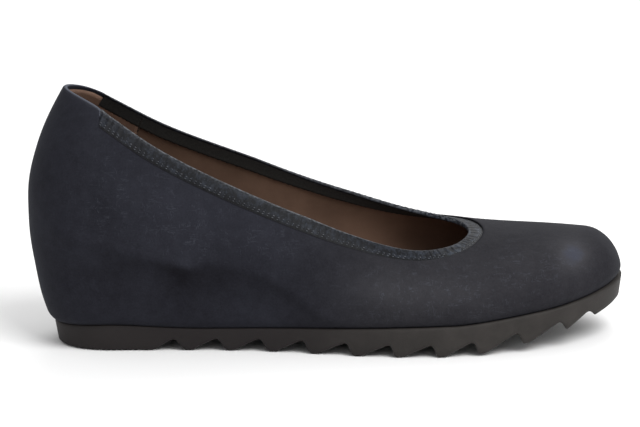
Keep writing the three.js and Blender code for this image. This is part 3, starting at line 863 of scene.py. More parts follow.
        # Painted highlight: where the tone runs past 0.85, chiefly on the toe's shoulder, it turns to the
        # blue-grey highlight colour.
        colour = nodes.mix(nodes.ramp(tone, 0.85, 1.3), colour, self.painted_highlight)
        lines = nodes.math("MAXIMUM", self._scratches(nodes, where, 0), self._scratches(nodes, where, 1))
        scuffed = nodes.math("MULTIPLY", nodes.attribute("scuffed"), self.scratch_strength)
        colour = nodes.mix(nodes.math("MULTIPLY", lines, scuffed), colour, self.scratch)
        # Painted highlight along the top of the heel tab's roll.
        colour = nodes.mix(nodes.attribute("rim_highlight"), colour, self.rim_highlight)
        grain = nodes.noise(where, 1900, 3, 0.7)
        height = nodes.math("ADD", nodes.math("MULTIPLY", grain, 0.5), nodes.noise(where, 420, 3, 0.6))
        nodes.surface(shader, colour, height, 0.4, 0.0002)
        rough = nodes.add("ShaderNodeMapRange", in_Value=grain)
        rough.inputs["To Min"].default_value = 0.72
        rough.inputs["To Max"].default_value = 0.95
        material.node_tree.links.new(rough.outputs[0], shader.inputs["Roughness"])
        shader.inputs["Sheen Weight"].default_value = 0.02
        shader.inputs["Sheen Roughness"].default_value = 0.45
        shader.inputs["Sheen Tint"].default_value = (0.75, 0.82, 1, 1)
        shader.inputs["Specular IOR Level"].default_value = 0.1
        return material

    def _scratches(self, nodes: Nodes, where: bpy.types.NodeSocket, turn: int) -> bpy.types.NodeSocket:
        """Short crinkled scratches: broken contour lines of a stretched noise.

        Args:
            nodes: The material's nodes.
            where: The coordinates.
            turn: 0 for level scratches, 1 for upright ones.

        Returns:
            1 on a scratch, 0 off it.
        """
        stretch = (85, 200, 520) if turn == 0 else (520, 200, 150)
        placed = nodes.add("ShaderNodeMapping", in_Vector=where)
        placed.inputs["Rotation"].default_value = (0.1, 0.22 - 0.1 * turn, 0.2)
        placed.inputs["Location"].default_value = (0.13 * turn, 0.07, 0.21)
        placed.inputs["Scale"].default_value = stretch
        ground = nodes.noise(placed.outputs[0], 1, 3, 0.6)
        away = nodes.math("ABSOLUTE", nodes.math("SUBTRACT", ground, 0.5))
        line = nodes.ramp(away, 0.02, 0.003)
        broken = nodes.ramp(nodes.noise(where, 230 + 60 * turn, 2, 0.5), 0.5, 0.62)
        return nodes.math("MULTIPLY", line, broken)


@dataclass(frozen=True)
class BoundLeather:
    """Soft navy leather of the topline's binding, satin at the throat and worn fuzzy along its fold, with
    painted shadow along its lower edge over the nubuck.
    """

    face: tuple[float, float, float] = (0.0022, 0.0026, 0.0042)
    worn: tuple[float, float, float] = (0.0135, 0.0165, 0.0235)
    satin: tuple[float, float, float] = (0.023, 0.029, 0.041)
    fuzz: tuple[float, float, float] = (0.07, 0.075, 0.085)
    # Painted shadow colour for the strip's lower edge, where it stands proud of the nubuck.
    groove_shadow: tuple[float, float, float] = (0.0008, 0.0008, 0.0011)

    def build(self) -> bpy.types.Material:
        """Builds the material."""
        material, nodes, shader = new_material("navy_binding_leather")
        where = nodes.add("ShaderNodeTexCoord").outputs["Object"]
        pebble = nodes.noise(where, 1100, 3, 0.65)
        cloud = nodes.noise(where, 330, 3, 0.6)
        tone = nodes.math("ADD", nodes.ramp(pebble, 0.5, 0.72), nodes.ramp(cloud, 0.45, 0.75), clamp=True)
        worn = nodes.mix(nodes.ramp(nodes.along(where), 0.02, 0.058), self.worn, self.satin)
        colour = nodes.mix(tone, self.face, worn)
        weave = nodes.ramp(nodes.noise(where, 900, 2, 0.5), 0.42, 0.62)
        colour = nodes.mix(nodes.math("MULTIPLY", nodes.attribute("crown"), weave), colour, self.fuzz)
        # Painted shadow along the strip's lower edge.
        colour = nodes.mix(nodes.attribute("seat_shadow"), colour, self.groove_shadow)
        nodes.surface(shader, colour, pebble, 0.5, 0.0002)
        shader.inputs["Roughness"].default_value = 0.5
        shader.inputs["Specular IOR Level"].default_value = 0.12
        return material


@dataclass(frozen=True)
class BlackFacing:
    """The near-black inner face of the binding."""

    face: tuple[float, float, float] = (0.026, 0.026, 0.0252)
    faded: tuple[float, float, float] = (0.035, 0.035, 0.033)

    def build(self) -> bpy.types.Material:
        """Builds the material."""
        material, nodes, shader = new_material("black_facing")
        where = nodes.add("ShaderNodeTexCoord").outputs["Object"]
        weave = nodes.noise(where, 1400, 2, 0.6)
        colour = nodes.mix(nodes.ramp(weave, 0.4, 0.75), self.face, self.faded)
        nodes.surface(shader, colour, weave, 0.4, 0.00015)
        shader.inputs["Roughness"].default_value = 0.85
        shader.inputs["Specular IOR Level"].default_value = 0.1
        return material


@dataclass(frozen=True)
class LiningLeather:
    """Tan-brown lining leather with a fine grain and soft stains.

    Args:
        name: The material's name.
        pale: The lighter colour.
        dark: The darker colour.
        roughness: How matt the leather is.
    """

    name: str = "tan_lining_leather"
    pale: tuple[float, float, float] = (0.14, 0.083, 0.056)
    dark: tuple[float, float, float] = (0.09, 0.052, 0.034)
    roughness: float = 0.6

    def build(self) -> bpy.types.Material:
        """Builds the material."""
        material, nodes, shader = new_material(self.name)
        where = nodes.add("ShaderNodeTexCoord").outputs["Object"]
        cloud = nodes.noise(where, 35, 4, 0.6)
        pores = nodes.noise(where, 1300, 3, 0.65)
        fine = nodes.math("MULTIPLY", pores, 0.3)
        tone = nodes.math("ADD", nodes.ramp(cloud, 0.35, 0.7), fine, clamp=True)
        nodes.surface(shader, nodes.mix(tone, self.dark, self.pale), pores, 0.3, 0.00015)
        shader.inputs["Roughness"].default_value = self.roughness
        return material


@dataclass(frozen=True)
class MouldedRubber:
    """Dark brown-grey moulded rubber, matt, with faint mould marks and scuffs, redder and darker from the
    ball back to the heel, the darkening painted shade.
    """

    heel: tuple[float, float, float] = (0.0158, 0.0131, 0.0135)
    face: tuple[float, float, float] = (0.0225, 0.0203, 0.019)
    scuffed: tuple[float, float, float] = (0.034, 0.0305, 0.0285)

    def build(self) -> bpy.types.Material:
        """Builds the material."""
        material, nodes, shader = new_material("moulded_rubber")
        where = nodes.add("ShaderNodeTexCoord").outputs["Object"]
        cloud = nodes.noise(where, 45, 5, 0.65)
        speck = nodes.noise(where, 1600, 2, 0.6)
        fine = nodes.math("MULTIPLY", speck, 0.25)
        tone = nodes.math("ADD", nodes.ramp(cloud, 0.35, 0.75), fine, clamp=True)
        ball = nodes.mix(tone, self.face, self.scuffed)
        # Painted shade: darker from the ball back to the heel, where less light falls. The heel's redder tone
        # is the rubber's own.
        waist = nodes.mix(nodes.math("MULTIPLY", tone, 0.35), self.heel, self.face)
        colour = nodes.mix(nodes.ramp(nodes.along(where), -0.035, 0.045), waist, ball)
        nodes.surface(shader, colour, speck, 0.3, 0.0002)
        shader.inputs["Roughness"].default_value = 0.6
        shader.inputs["Specular IOR Level"].default_value = 0.14
        return material


@dataclass(frozen=True)
class Thread:
    """Sewing thread.

    Args:
        name: The material's name.
        colour: The thread's colour.
    """

    name: str
    colour: tuple[float, float, float]

    def build(self) -> bpy.types.Material:
        """Builds the material."""
        material, nodes, shader = new_material(self.name)
        where = nodes.add("ShaderNodeTexCoord").outputs["Object"]
        twist = nodes.noise(where, 2500, 1, 0.5)
        dark = tuple(0.55 * part for part in self.colour)
        colour = nodes.mix(nodes.ramp(twist, 0.35, 0.65), dark, self.colour)
        material.node_tree.links.new(colour, shader.inputs["Base Color"])
        shader.inputs["Roughness"].default_value = 0.55
        return material


@dataclass
class Upper:
    """The nubuck shell: one hide from the outsole to the binding, folded over at the heel tab."""

    last: Last
    origin: Array
    lap: float = 6.4
    hide: float = 0.8
    tab_roll: float = 2.3
    tab_fold: float = 3.0
    step_softness: float = 1.9
    tuck: float = 2.2
    inner_inset: float = 1.15
    rows: int = 84
    crease: SoftFold = SoftFold(
        (
            (14, 53), (22, 50), (31, 47.5), (45, 43), (59, 39.5), (69, 36.8), (76, 39.6), (90, 37.4),
            (100, 33.8), (111, 27.4), (122, 18.9), (129, 14.6),
        ),
        3.0,
        0.85,
    )

    def folds(self) -> list[SoftFold]:
        """The crease over the wedge, the hollow under it and three soft folds above it.

        Returns:
            The folds, the last two of them a weaker crease and hollow on the inner side.
        """
        hollow = ((22, 33), (50, 33), (76, 26), (98, 20))
        return [
            self.crease,
            SoftFold(hollow, 6.5, -1.0),
            SoftFold(((70, 66), (70, 52), (68, 41)), 3.0, 0.5),
            SoftFold(((77, 64), (78, 50), (79, 44)), 2.8, -0.5),
            SoftFold(((46, 49), (53, 46), (58, 44)), 2.4, 0.4),
            SoftFold(self.crease.path, 3.2, 0.7, True),
            SoftFold(hollow, 6.5, -0.9, True),
        ]

    def build(self) -> bpy.types.Object:
        """Builds the shell and its nubuck.

        Returns:
            The piece.
        """
        columns = Columns(self.last)
        tab = columns.tabness(self.step_softness)[:, None]
        edge = self.lap * (1 - tab)
        radius = (self.hide + (self.tab_roll - self.hide) * tab) / 2
        turn = np.linspace(0, np.pi, 9)[None, :]
        share = np.linspace(1, 0, self.rows + 1)[None, :]
        height = columns.height[:, None]
        outer_below = edge + radius + (height - edge - radius) * share
        rim_below = edge + radius - radius * np.sin(turn)
        rim_inset = radius - radius * np.cos(turn)
        bend = edge + radius + self.tab_fold * tab + 0.4
        inner = np.linspace(0, 1, 16)[None, :]
        inner_below = bend + self.tuck + (height - bend - self.tuck) * inner
        below = np.concatenate([outer_below[:, :-1], rim_below, bend, inner_below], axis=1)
        inner_inset = np.full_like(inner_below, self.inner_inset)
        inset = np.concatenate(
            [np.zeros_like(outer_below[:, :-1]), rim_inset, 2 * radius, inner_inset], axis=1
        )
        points = columns.at(below, inset)
        count = self.rows + 3
        outward = unit(points[:, :count] - columns.at(below[:, :count], inset[:, :count] + 0.5))
        relief = sum(fold.relief(points[:, :count]) for fold in self.folds())
        fade = smoothstep(1, 9, below[:, :count] - edge) * smoothstep(0.5, 7, height - below[:, :count])
        points[:, :count] += outward * (relief * fade)[..., None]
        piece = rings_to_mesh("upper_nubuck", points, True, self.origin)
        folded = points[:, self.rows + turn.shape[1] // 2]
        rolled = columns.tabness(self.step_softness) > 0.6
        # A painted highlight along the top of the heel tab's roll.
        self._paint_rim_highlight(piece, folded[rolled])
        nubuck = Nubuck()
        # The hide's fold beside the strip gets a dark line of painted shade.
        nubuck.paint(piece.data, self.last, self.origin, self.crease, folded[~rolled])
        piece.data.materials.append(nubuck.build())
        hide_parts("upper")
        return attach(piece, ROOT)

    def _paint_rim_highlight(self, piece: bpy.types.Object, rim_highlight: Array) -> None:
        """Paints a highlight along the heel tab's roll, by how near each vertex lies to the top of the roll.

        Args:
            piece: The shell.
            rim_highlight: The line along the top of the roll, where the highlight is painted.
        """
        near = nearest(np.array([tuple(v.co) for v in piece.data.vertices]) / METRES, rim_highlight + self.origin)
        attribute = piece.data.attributes.new("rim_highlight", "FLOAT", "POINT")
        attribute.data.foreach_set("value", smoothstep(1.0, 0.45, near).astype(np.float32))


@dataclass
class Lining:
    """The leather lining of the shell, and the grip that covers it round the heel."""

    last: Last
    origin: Array
    outer: float = 1.25
    inner: float = 2.15
    top_below: float = 1.4
    grip_thickness: float = 0.6
    grip_share: float = 0.215
    grip_margin: float = 0.008
    grip_top: float = 2.6
    grip_seam_length: float = 26

    def build(self) -> bpy.types.Object:
        """Builds the lining."""
        columns = Columns(self.last, spacing=1.6)
        height = columns.height[:, None]
        down = np.linspace(0, 1, 40)[None, :]
        below = self.top_below + (height - self.top_below) * down
        points = np.concatenate(
            [
                columns.at(below[:, ::-1], np.full_like(below, self.outer)),
                columns.at(below, np.full_like(below, self.inner)),
            ],
            axis=1,
        )
        piece = rings_to_mesh("lining", points, True, self.origin)
        piece.data.materials.append(LiningLeather().build())
        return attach(piece, ROOT)

    def seam_lines(self) -> list[tuple[Array, Array]]:
        """The stitch lines down the grip's front edges, with the inward direction at each point."""
        columns = Columns(self.last, spacing=1.3)
        down = np.linspace(self.grip_top, self.grip_seam_length, 12)
        below = down[None, :].repeat(len(columns.top), 0)
        depth = self.inner + self.grip_thickness + 0.12
        face = columns.at(below, np.full_like(below, depth))
        deeper = columns.at(below, np.full_like(below, depth + 0.5))
        off = np.abs(columns.share - self.grip_share + self.grip_margin)
        middle = len(off) // 2
        chosen = (int(np.argmin(off[:middle])), middle + int(np.argmin(off[middle:])))
        return [(face[column], unit(deeper - face)[column]) for column in chosen]

    def build_grip(self) -> bpy.types.Object:
        """Builds the heel grip inside the counter."""
        columns = Columns(self.last, spacing=1.3)
        count = len(columns.share)
        chosen = np.flatnonzero(columns.share < self.grip_share)
        order = np.argsort((chosen + count // 2) % count)
        chosen = chosen[order]
        height = columns.height[:, None]
        low = self.inner + 0.03
        high = low + self.grip_thickness
        down = np.linspace(0, 1, 30)[None, :]
        below = self.grip_top + (0.75 * height - self.grip_top) * down
        inset = np.concatenate([np.full_like(below, low), np.full_like(below, high)], axis=1)
        inset[:, [30, -1]] = (low + high) / 2
        points = columns.at(np.concatenate([below[:, ::-1], below], axis=1), inset)[chosen]
        piece = rings_to_mesh("heel_grip", points, False, self.origin, cap=True)
        piece.data.materials.append(
            LiningLeather("tan_heel_grip", (0.15, 0.085, 0.056), (0.1, 0.055, 0.036), 0.8).build()
        )
        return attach(piece, ROOT)


@dataclass
class CollarBinding:
    """The folded strip along the topline, softly ruched, with a black inner face and two seams."""

    last: Last
    origin: Array
    width: float = 7.6
    lead: float = 1.6
    outside: float = 0.85
    inside: float = 2.85
    crown: float = 0.1
    leather: float = 0.42
    ruche_height: float = 0.08
    ruche_length: float = 2.6
    fray: float = 0.22
    seat_shadow: float = 2.0
    # Width of the painted shadow along the strip's lower edge, in mm.
    crest_past: float = 0.5
    facing_past: float = 1.7
    fuzz_width: float = 0.95
    seams: tuple[float, float] = (4.5, 5.5)
    facing_rows: tuple[tuple[float, float], ...] = (
        (0.135, 7.7), (0.5, 7.5), (0.65, 6.4), (0.8, 4.8), (1.0, 4.2),
    )
    stitch_pitch: float = 2.2

    def build(self) -> bpy.types.Object:
        """Builds the strip.

        Returns:
            The piece.
        """
        columns = Columns(self.last, spacing=0.42, opened=True, lead=self.lead, samples=20)
        leg = np.linspace(0, 1, 9)
        radius = (self.inside - self.outside) / 2
        turn = np.linspace(0, np.pi, 11)[1:-1]
        flatten = 0.55 * radius
        outer_leg = [(self.width - (self.width - self.crown - flatten) * t, self.outside) for t in leg]
        over = [
            (self.crown + flatten * (1 - math.sin(angle)), self.outside + radius * (1 - math.cos(angle)))
            for angle in turn
        ]
        inner_leg = [(self.crown + flatten + t, self.inside) for t in leg]
        hidden = [
            (self.crown + flatten + 1, self.inside - self.leather + 0.05),
            (self.crown + flatten + 0.6, self.inside - self.leather + 0.05),
            (self.crown + flatten + 0.6, self.outside + self.leather),
            (self.width, self.outside + self.leather),
        ]
        section = np.array(outer_leg + over + inner_leg + hidden)
        below = section[None, :, 0].repeat(len(columns.top), 0)
        inset = section[None, :, 1].repeat(len(columns.top), 0)
        visible = len(outer_leg) + len(over)
        inner = slice(visible, visible + len(leg))
        facing = Spline(*zip(*self.facing_rows))(columns.share) - self.crown - flatten
        facing = facing + self.fray * (np.sin(columns.run * 2.9) + np.sin(columns.run * 7.7 + 2)) / 2
        below[:, inner] = self.crown + flatten + facing[:, None] * leg
        below[:, visible + len(leg)] = below[:, visible + len(leg) - 1]
        inset[:, :visible] -= self._ruching(columns.run)[:, None] * self._ruche_share(section[:visible])
        points = columns.at(below, inset)
        piece = rings_to_mesh("collar_strip", points, False, self.origin, cap=True)
        self._dress(piece)
        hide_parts("collar_binding")
        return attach(piece, ROOT)

    def _ruching(self, run: Array) -> Array:
        """Uneven small waves along the strip."""
        turns = 2 * np.pi * run / self.ruche_length
        wander = 1.7 * np.sin(turns / 7.3) + 1.1 * np.sin(turns / 3.7 + 1)
        return self.ruche_height * (np.sin(turns + wander) + 0.5 * np.sin(1.9 * turns + 2 * wander))

    def _ruche_share(self, section: Array) -> Array:
        """How strongly each line of the section waves: least at the seams and at the lower edge."""
        share = np.ones(len(section))
        for seam in self.seams:
            share *= 1 - 0.85 * np.exp(-(((section[:, 0] - seam) / 0.5) ** 2))
        share *= smoothstep(self.width - 1, self.width - 2, section[:, 0])
        return share[None, :]

    def _dress(self, piece: bpy.types.Object) -> None:
        """Gives the outer face its leather and the inner leg its black facing."""
        piece.data.materials.append(BoundLeather().build())
        piece.data.materials.append(BlackFacing().build())
        uv = piece.data.uv_layers["millimetres"].data
        girth = np.zeros(len(piece.data.vertices), np.float32)
        for face in piece.data.polygons:
            for loop in face.loop_indices:
                girth[piece.data.loops[loop].vertex_index] = uv[loop].uv.y
        crest = self.width + self.crest_past
        for face in piece.data.polygons:
            if uv[face.loop_start].uv.y > crest + self.facing_past:
                face.material_index = 1
        crown = np.exp(-(((girth - crest) / self.fuzz_width) ** 2))
        # Painted shadow: the lowest part of the outer face darkens where the strip stands over the nubuck.
        seat_shadow = smoothstep(self.seat_shadow, 0.7 * self.seat_shadow, girth).astype(np.float32)
        for name, values in (("crown", crown), ("seat_shadow", seat_shadow)):
            piece.data.attributes.new(name, "FLOAT", "POINT").data.foreach_set("value", values)

    def seam_lines(self) -> list[tuple[Array, Array]]:
        """The lines of both seams, with the outward direction at each point."""
        columns = Columns(self.last, spacing=0.8, opened=True, samples=20)
        lines = []
        for seam in self.seams:
            below = np.full((len(columns.top), 1), seam)
            face = columns.at(below, np.full_like(below, self.outside - 0.04))
            deeper = columns.at(below, np.full_like(below, self.outside + 0.8))
            clear = columns.tabness() < TINY
            lines.append((face[clear, 0], unit(face - deeper)[clear, 0]))
        return lines


@dataclass
class Seam:
    """A row of stitches that Geometry Nodes lay along a line."""

    name: str
    line: Array
    outward: Array
    origin: Array
    thread: bpy.types.Material
    pitch: float = 2.8
    stitch_length: float = 0.85
    stitch_width: float = 0.3
    stitch_height: float = 0.22
    seed: int = 3

    def build(self) -> bpy.types.Object:
        """Builds the row as one plain mesh.

        Returns:
            The piece.
        """
        mesh = bpy.data.meshes.new(self.name + "_path")
        count = len(self.line)
        edges = [(i, i + 1) for i in range(count - 1)]
        mesh.from_pydata(((self.line + self.origin) * METRES).tolist(), edges, [])
        facing = mesh.attributes.new("facing", "FLOAT_VECTOR", "POINT")
        facing.data.foreach_set("vector", self.outward.astype(np.float32).ravel())
        path = bpy.data.objects.new(self.name + "_path", mesh)
        bpy.context.scene.collection.objects.link(path)
        tree = self._tree()
        modifier = path.modifiers.new("stitches", "NODES")
        modifier.node_group = tree
        sizes = {
            "Pitch": self.pitch, "Length": self.stitch_length,
            "Width": self.stitch_width, "Height": self.stitch_height,
        }
        for item in tree.interface.items_tree:
            if item.item_type == "SOCKET" and item.in_out == "INPUT" and item.name in sizes:
                modifier[item.identifier] = sizes[item.name] * METRES
        evaluated = path.evaluated_get(bpy.context.evaluated_depsgraph_get())
        made = bpy.data.meshes.new_from_object(evaluated)
        made.name = self.name
        bpy.data.objects.remove(path)
        piece = bpy.data.objects.new(self.name, made)
        bpy.context.scene.collection.objects.link(piece)
        made.shade_smooth()
        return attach(piece, ROOT)

    def _tree(self) -> bpy.types.NodeTree:
        """The node tree: a stitch on each resampled point, turned along the line and off the leather."""
        tree = bpy.data.node_groups.new(self.name + "_stitching", "GeometryNodeTree")
        tree.interface.new_socket("Geometry", in_out="INPUT", socket_type="NodeSocketGeometry")
        for size in ("Pitch", "Length", "Width", "Height"):
            tree.interface.new_socket(size, in_out="INPUT", socket_type="NodeSocketFloat")
        tree.interface.new_socket("Geometry", in_out="OUTPUT", socket_type="NodeSocketGeometry")
        nodes = Nodes(tree)
        given = nodes.add("NodeGroupInput")
        curve = nodes.add("GeometryNodeMeshToCurve", in_Mesh=given.outputs["Geometry"])
        spaced = nodes.add("GeometryNodeResampleCurve", mode="LENGTH", in_Curve=curve.outputs[0])
        tree.links.new(given.outputs["Pitch"], spaced.inputs["Length"])
        stitch = nodes.add("GeometryNodeMeshUVSphere", in_Segments=8, in_Rings=6, in_Radius=0.5)
        size = nodes.add("ShaderNodeCombineXYZ", in_0=given.outputs["Length"], in_1=given.outputs["Width"])
        tree.links.new(given.outputs["Height"], size.inputs[2])
        facing = nodes.add("GeometryNodeInputNamedAttribute", data_type="FLOAT_VECTOR", in_Name="facing")
        tangent = nodes.add("GeometryNodeInputTangent")
        along = nodes.add("FunctionNodeAlignRotationToVector", axis="X", in_Vector=tangent.outputs[0])
        turned = nodes.add(
            "FunctionNodeAlignRotationToVector", axis="Z", pivot_axis="X", in_Rotation=along.outputs[0],
            in_Vector=facing.outputs[0],
        )
        laid = nodes.add(
            "GeometryNodeInstanceOnPoints", in_Points=spaced.outputs[0], in_Instance=stitch.outputs[0]
        )
        uneven = nodes.add(
            "FunctionNodeRandomValue", data_type="FLOAT", in_Min=0.5, in_Max=1.15, in_Seed=self.seed
        )
        scaled = nodes.add(
            "ShaderNodeVectorMath", operation="SCALE", in_0=size.outputs[0], in_Scale=uneven.outputs["Value"]
        )
        tree.links.new(turned.outputs[0], laid.inputs["Rotation"])
        tree.links.new(scaled.outputs[0], laid.inputs["Scale"])
        real = nodes.add("GeometryNodeRealizeInstances", in_0=laid.outputs[0])
        dressed = nodes.add("GeometryNodeSetMaterial", in_0=real.outputs[0])
        dressed.inputs["Material"].default_value = self.thread
        result = nodes.add("NodeGroupOutput")
        tree.links.new(dressed.outputs[0], result.inputs[0])
        return tree


@dataclass
class Insole:
    """The footbed over the hidden wedge."""

    last: Last
    origin: Array
    clearance: float = 2.35
    cup: float = 1.5
    stations: int = 150
    across: int = 24

    def build(self) -> bpy.types.Object:
        """Builds the footbed.

        Returns:
            The piece.
        """
        shares = ended_shares(self.stations)
        last = self.last
        lateral, medial = [], []
        for up in (0.0, 0.35, 0.7, 0.94, 1.0):
            inset = self.clearance + (0.35 if up == 1.0 else 0)

            def height(x: Array, up: float = up) -> Array:
                """Height of this level."""
                bottom = last.feather(x) + last.gap
                return bottom + (last.bed(x) - bottom) * up

            left, right = last.level(shares, height, height, lambda x, inset=inset: np.full_like(x, inset))
            lateral.append(left)
            medial.append(right)
        part = np.linspace(0, 1, self.across + 1)[1:-1]
        top = lateral[-1][:, None] + (medial[-1] - lateral[-1])[:, None] * part[None, :, None]
        width = np.linalg.norm(medial[-1] - lateral[-1], axis=1)[:, None]
        bowl = (4 * part * (1 - part)) ** 0.8
        top[..., 2] -= self.cup * bowl[None, :] * np.minimum(1, width / last.heel_width)
        points = np.concatenate([np.stack(lateral, 1), top, np.stack(medial[::-1], 1)], axis=1)
        piece = rings_to_mesh("footbed", points, False, self.origin)
        piece.data.materials.append(
            LiningLeather("tan_footbed_leather", (0.15, 0.08, 0.05), (0.1, 0.052, 0.032), 0.55).build()
        )
        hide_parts("insole")
        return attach(piece, ROOT)


@dataclass
class Outsole:
    """The moulded rubber outsole: a flat heel block, saw teeth and fine ribs under the heel."""

    last: Last
    origin: Array
    taper: float = 1.6
    edge_bevel: float = 1.2
    heel_block_end: float = 52.3
    first_tooth: float = 65.3
    tooth_pitch: float = 17.6
    tooth_count: int = 8
    toe_tooth_pitch: float = 18.6
    last_tooth_pitch: float = 12.9
    tooth_depth: float = 5.7
    tooth_land: float = 3.0
    rounding: float = 2.0
    rib_pitch: float = 2.3
    rib_depth: float = 0.45
    stations: int = 620

    def tooth_line(self) -> tuple[Array, Array]:
        """The teeth from the side, as places along the shoe and heights."""
        last = self.last
        rows = [
            (0.26, 0.7, 0.95, 1), (0.4, 0.55, 1.02, 1), (0.54, 0.42, 1.02, 1), (0.61, 0.32, 0.97, 1),
            (0.68, 0.36, 0.97, 1), (0.75, 0.42, 1.04, 1), (0.82, 0.42, 1.04, 1), (0.9, 0.45, 0.85, 0.35),
            (0.95, 0.45, 0.66, 0.35),
        ]
        fall, depth, land = (Spline([row[0] for row in rows], [row[k] for row in rows]) for k in (1, 2, 3))
        teeth = [self.first_tooth + i * self.tooth_pitch for i in range(self.tooth_count)]
        for pitch in (self.toe_tooth_pitch, self.toe_tooth_pitch, self.last_tooth_pitch):
            teeth.append(teeth[-1] + pitch)
        ends = [self.heel_block_end]
        ends += [tooth + self.tooth_land * float(land(tooth / last.length)) for tooth in teeth]
        line = [(-0.1 * last.length, 0.0)]
        for tooth, end in zip(teeth, ends):
            roof = tooth - self.tooth_depth * float(fall(tooth / last.length))
            deep = self.tooth_depth * float(depth(tooth / last.length))
            line.append((end, float(last.tread(end))))
            line.append((roof, float(last.tread(roof)) + deep))
            line.append((tooth, float(last.tread(tooth))))
        line.append((ends[-1], float(last.tread(ends[-1]))))
        for i in range(1, 13):
            x = ends[-1] + (1.1 * last.length - ends[-1]) * i / 12
            line.append((x, float(last.tread(x))))
        return self._rounded(np.array(line))

    def _rounded(self, line: Array) -> tuple[Array, Array]:
        """Rounds the corners of a line by small arcs."""
        spots = [line[0]]
        for before, corner, after in zip(line[:-2], line[1:-1], line[2:]):
            to_before, to_after = before - corner, after - corner
            reach = min(self.rounding, np.linalg.norm(to_before) / 2, np.linalg.norm(to_after) / 2)
            start = corner + unit(to_before) * reach
            end = corner + unit(to_after) * reach
            for t in np.linspace(0, 1, 8):
                spots.append((1 - t) ** 2 * start + 2 * t * (1 - t) * corner + t**2 * end)
        spots.append(line[-1])
        rounded = np.array(spots)
        return rounded[:, 0], rounded[:, 1]

    def build(self) -> bpy.types.Object:
        """Builds the outsole.

        Returns:
            The piece.
        """
        last = self.last
        tooth_x, tooth_z = self.tooth_line()
        shares = ended_shares(self.stations // 4)
        even = np.linspace(0, 1, self.stations)
        shares = np.unique(np.round(np.concatenate([shares, even]), 6))

        def floor_line(x: Array) -> Array:
            """The tread from the side, with ribs under the heel block."""
            z = np.interp(x, tooth_x, tooth_z)
            ribs = np.abs(np.sin(np.pi * x / self.rib_pitch)) ** 0.7
            under_heel = smoothstep(16, 19, x) * smoothstep(50, 47, x)
            return z + self.rib_depth * (1 - ribs) * under_heel

        lateral, medial = [], []
        for up in (0.0, 0.03, 0.1, 0.25, 0.45, 0.65, 0.85, 0.95, 1.0):
            soften = 0.5 * max(0.0, (up - 0.94) / 0.06)

            def height(x: Array, up: float = up) -> Array:
                """Height of this level."""
                bottom = floor_line(x)
                return bottom + (last.feather(x) - bottom) * up

            def inset(x: Array, up: float = up, soften: float = soften) -> Array:
                """How far in this level's edge lies."""
                level = (height(x) - last.tread(x)) / last.read("sole", x)
                taper = np.interp(level, [0, 0.14, 1], [self.taper, 0.9 * self.taper, 0])
                round_under = self.edge_bevel * np.clip(1 - up / 0.1, 0, 1) ** 2
                ledge = last.feather_roll * last.read("ledge", x)
                return taper * last.read("lean", x) + round_under + soften - ledge

            left, right = last.level(shares, height, last.feather, inset)
            lateral.append(left)
            medial.append(right)
        part = np.linspace(0, 1, 13)[1:-1]
        under = medial[0][:, None] + (lateral[0] - medial[0])[:, None] * part[None, :, None]
        points = np.concatenate([np.stack(lateral, 1), np.stack(medial[::-1], 1), under], axis=1)
        piece = rings_to_mesh("rubber_outsole", points, False, self.origin)
        piece.data.materials.append(MouldedRubber().build())
        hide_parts("outsole")
        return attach(piece, ROOT)


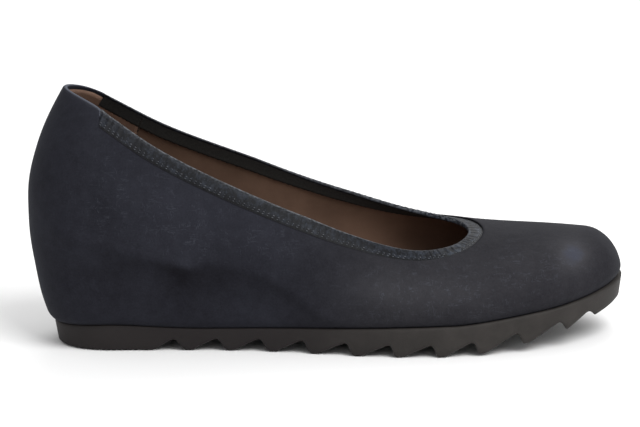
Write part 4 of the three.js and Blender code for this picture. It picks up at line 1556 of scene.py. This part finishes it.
@dataclass
class Studio:
    """A pale floor, soft light and the photograph's camera."""

    azimuth: float = -0.74
    elevation: float = 13.64
    roll: float = -0.66
    distance: float = 1.4
    pixels_per_mm: float = 2.356
    target_height: float = 0.045
    target_pixel: tuple[float, float] = (326.9, 231.3)
    picture: tuple[int, int] = (640, 427)

    def build(self) -> None:
        """Builds the floor, the lights and the camera."""
        self._floor()
        self._lights()
        self._camera()

    def _floor(self) -> None:
        """A wide pale floor under the shoe."""
        bpy.ops.mesh.primitive_plane_add(size=8)
        floor = bpy.context.active_object
        floor.name = "studio_floor"
        material, nodes, shader = new_material("pale_floor")
        where = nodes.add("ShaderNodeTexCoord").outputs["Object"]
        colour = nodes.mix(nodes.noise(where, 3), (0.86, 0.86, 0.86), (0.9, 0.9, 0.9))
        material.node_tree.links.new(colour, shader.inputs["Base Color"])
        shader.inputs["Roughness"].default_value = 0.9
        floor.data.materials.append(material)

    def _lights(self) -> None:
        """A bright surround and three soft boxes."""
        scene = bpy.context.scene
        scene.view_settings.view_transform = "Standard"
        world = bpy.data.worlds.new("studio_surround")
        world.use_nodes = True
        world.node_tree.nodes["Background"].inputs["Color"].default_value = (1, 1, 1, 1)
        world.node_tree.nodes["Background"].inputs["Strength"].default_value = 0.66
        scene.world = world
        for name, place, size, power in (
            ("key_softbox", (0.5, -0.75, 1.1), 0.8, 16),
            ("toe_softbox", (0.95, -0.45, 0.6), 0.5, 2),
            ("back_softbox", (0.1, 0.9, 0.9), 0.9, 6),
        ):
            light = bpy.data.lights.new(name, "AREA")
            light.shape = "SQUARE"
            light.size = size
            light.energy = power
            lamp = bpy.data.objects.new(name, light)
            lamp.location = place
            aim = Vector((0, 0, self.target_height)) - Vector(place)
            lamp.rotation_euler = aim.to_track_quat("-Z", "Y").to_euler()
            scene.collection.objects.link(lamp)

    def _camera(self) -> None:
        """The camera of the photograph."""
        a, e, r = (math.radians(angle) for angle in (self.azimuth, self.elevation, self.roll))
        back = Vector((math.sin(a) * math.cos(e), -math.cos(a) * math.cos(e), math.sin(e)))
        level = Vector((math.cos(a), math.sin(a), 0))
        upright = back.cross(level)
        right = level * math.cos(r) + upright * math.sin(r)
        up = upright * math.cos(r) - level * math.sin(r)
        data = bpy.data.cameras.new("photo_camera")
        wide, tall = self.picture
        data.sensor_width = 36
        data.lens = self.pixels_per_mm / METRES * self.distance / wide * data.sensor_width
        data.shift_x = (wide / 2 - self.target_pixel[0]) / wide
        data.shift_y = (self.target_pixel[1] - tall / 2) / wide
        camera = bpy.data.objects.new("photo_camera", data)
        place = Vector((0, 0, self.target_height)) + back * self.distance
        turn = Matrix((right, up, back)).transposed().to_4x4()
        camera.matrix_world = Matrix.Translation(place) @ turn
        bpy.context.scene.collection.objects.link(camera)
        bpy.context.scene.camera = camera


def last_origin(last: Last) -> Array:
    """Where the last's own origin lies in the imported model, from the upper's box.

    Args:
        last: The form of the shoe.

    Returns:
        The offset from the last to the model's frame, in mm.
    """
    low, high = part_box("upper")
    rear = low.x / METRES
    columns = Columns(last, spacing=4)
    down = np.linspace(0, 1, 40)[None, :] * columns.height[:, None]
    wall = columns.at(down, np.zeros_like(down))
    middle = (wall[..., 1].min() + wall[..., 1].max()) / 2
    return np.array([rear - wall[..., 0].min(), (low.y + high.y) / 2 / METRES - middle, 0.0])


def main() -> None:
    """Builds every piece, then the studio."""
    logging.basicConfig(level=logging.INFO, format="%(name)s: %(message)s")
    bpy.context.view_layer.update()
    last = Last()
    origin = last_origin(last)
    LOG.info("last's origin in the model: %s", np.round(origin, 2))
    Studio().build()
    binding = CollarBinding(last, origin)
    lining = Lining(last, origin)
    pieces = [
        Upper(last, origin).build(),
        lining.build(),
        lining.build_grip(),
        binding.build(),
        Insole(last, origin).build(),
        Outsole(last, origin).build(),
    ]
    thread = Thread("navy_thread", (0.075, 0.082, 0.096)).build()
    for name, (line, outward) in zip(("upper_seam", "lower_seam"), binding.seam_lines()):
        seam = Seam(name, line, outward, origin, thread, binding.stitch_pitch).build()
        pieces.append(seam)
    brown = Thread("brown_thread", (0.008, 0.005, 0.0035)).build()
    for name, (line, outward) in zip(("lateral_grip_seam", "medial_grip_seam"), lining.seam_lines()):
        seam = Seam(
            name, line, outward, origin, brown, pitch=1.7, stitch_length=1.5, stitch_width=0.6
        ).build()
        pieces.append(seam)
    for piece in pieces:
        LOG.info("%s: %d faces", piece.name, len(piece.data.polygons))


if __name__ == "__main__":
    main()
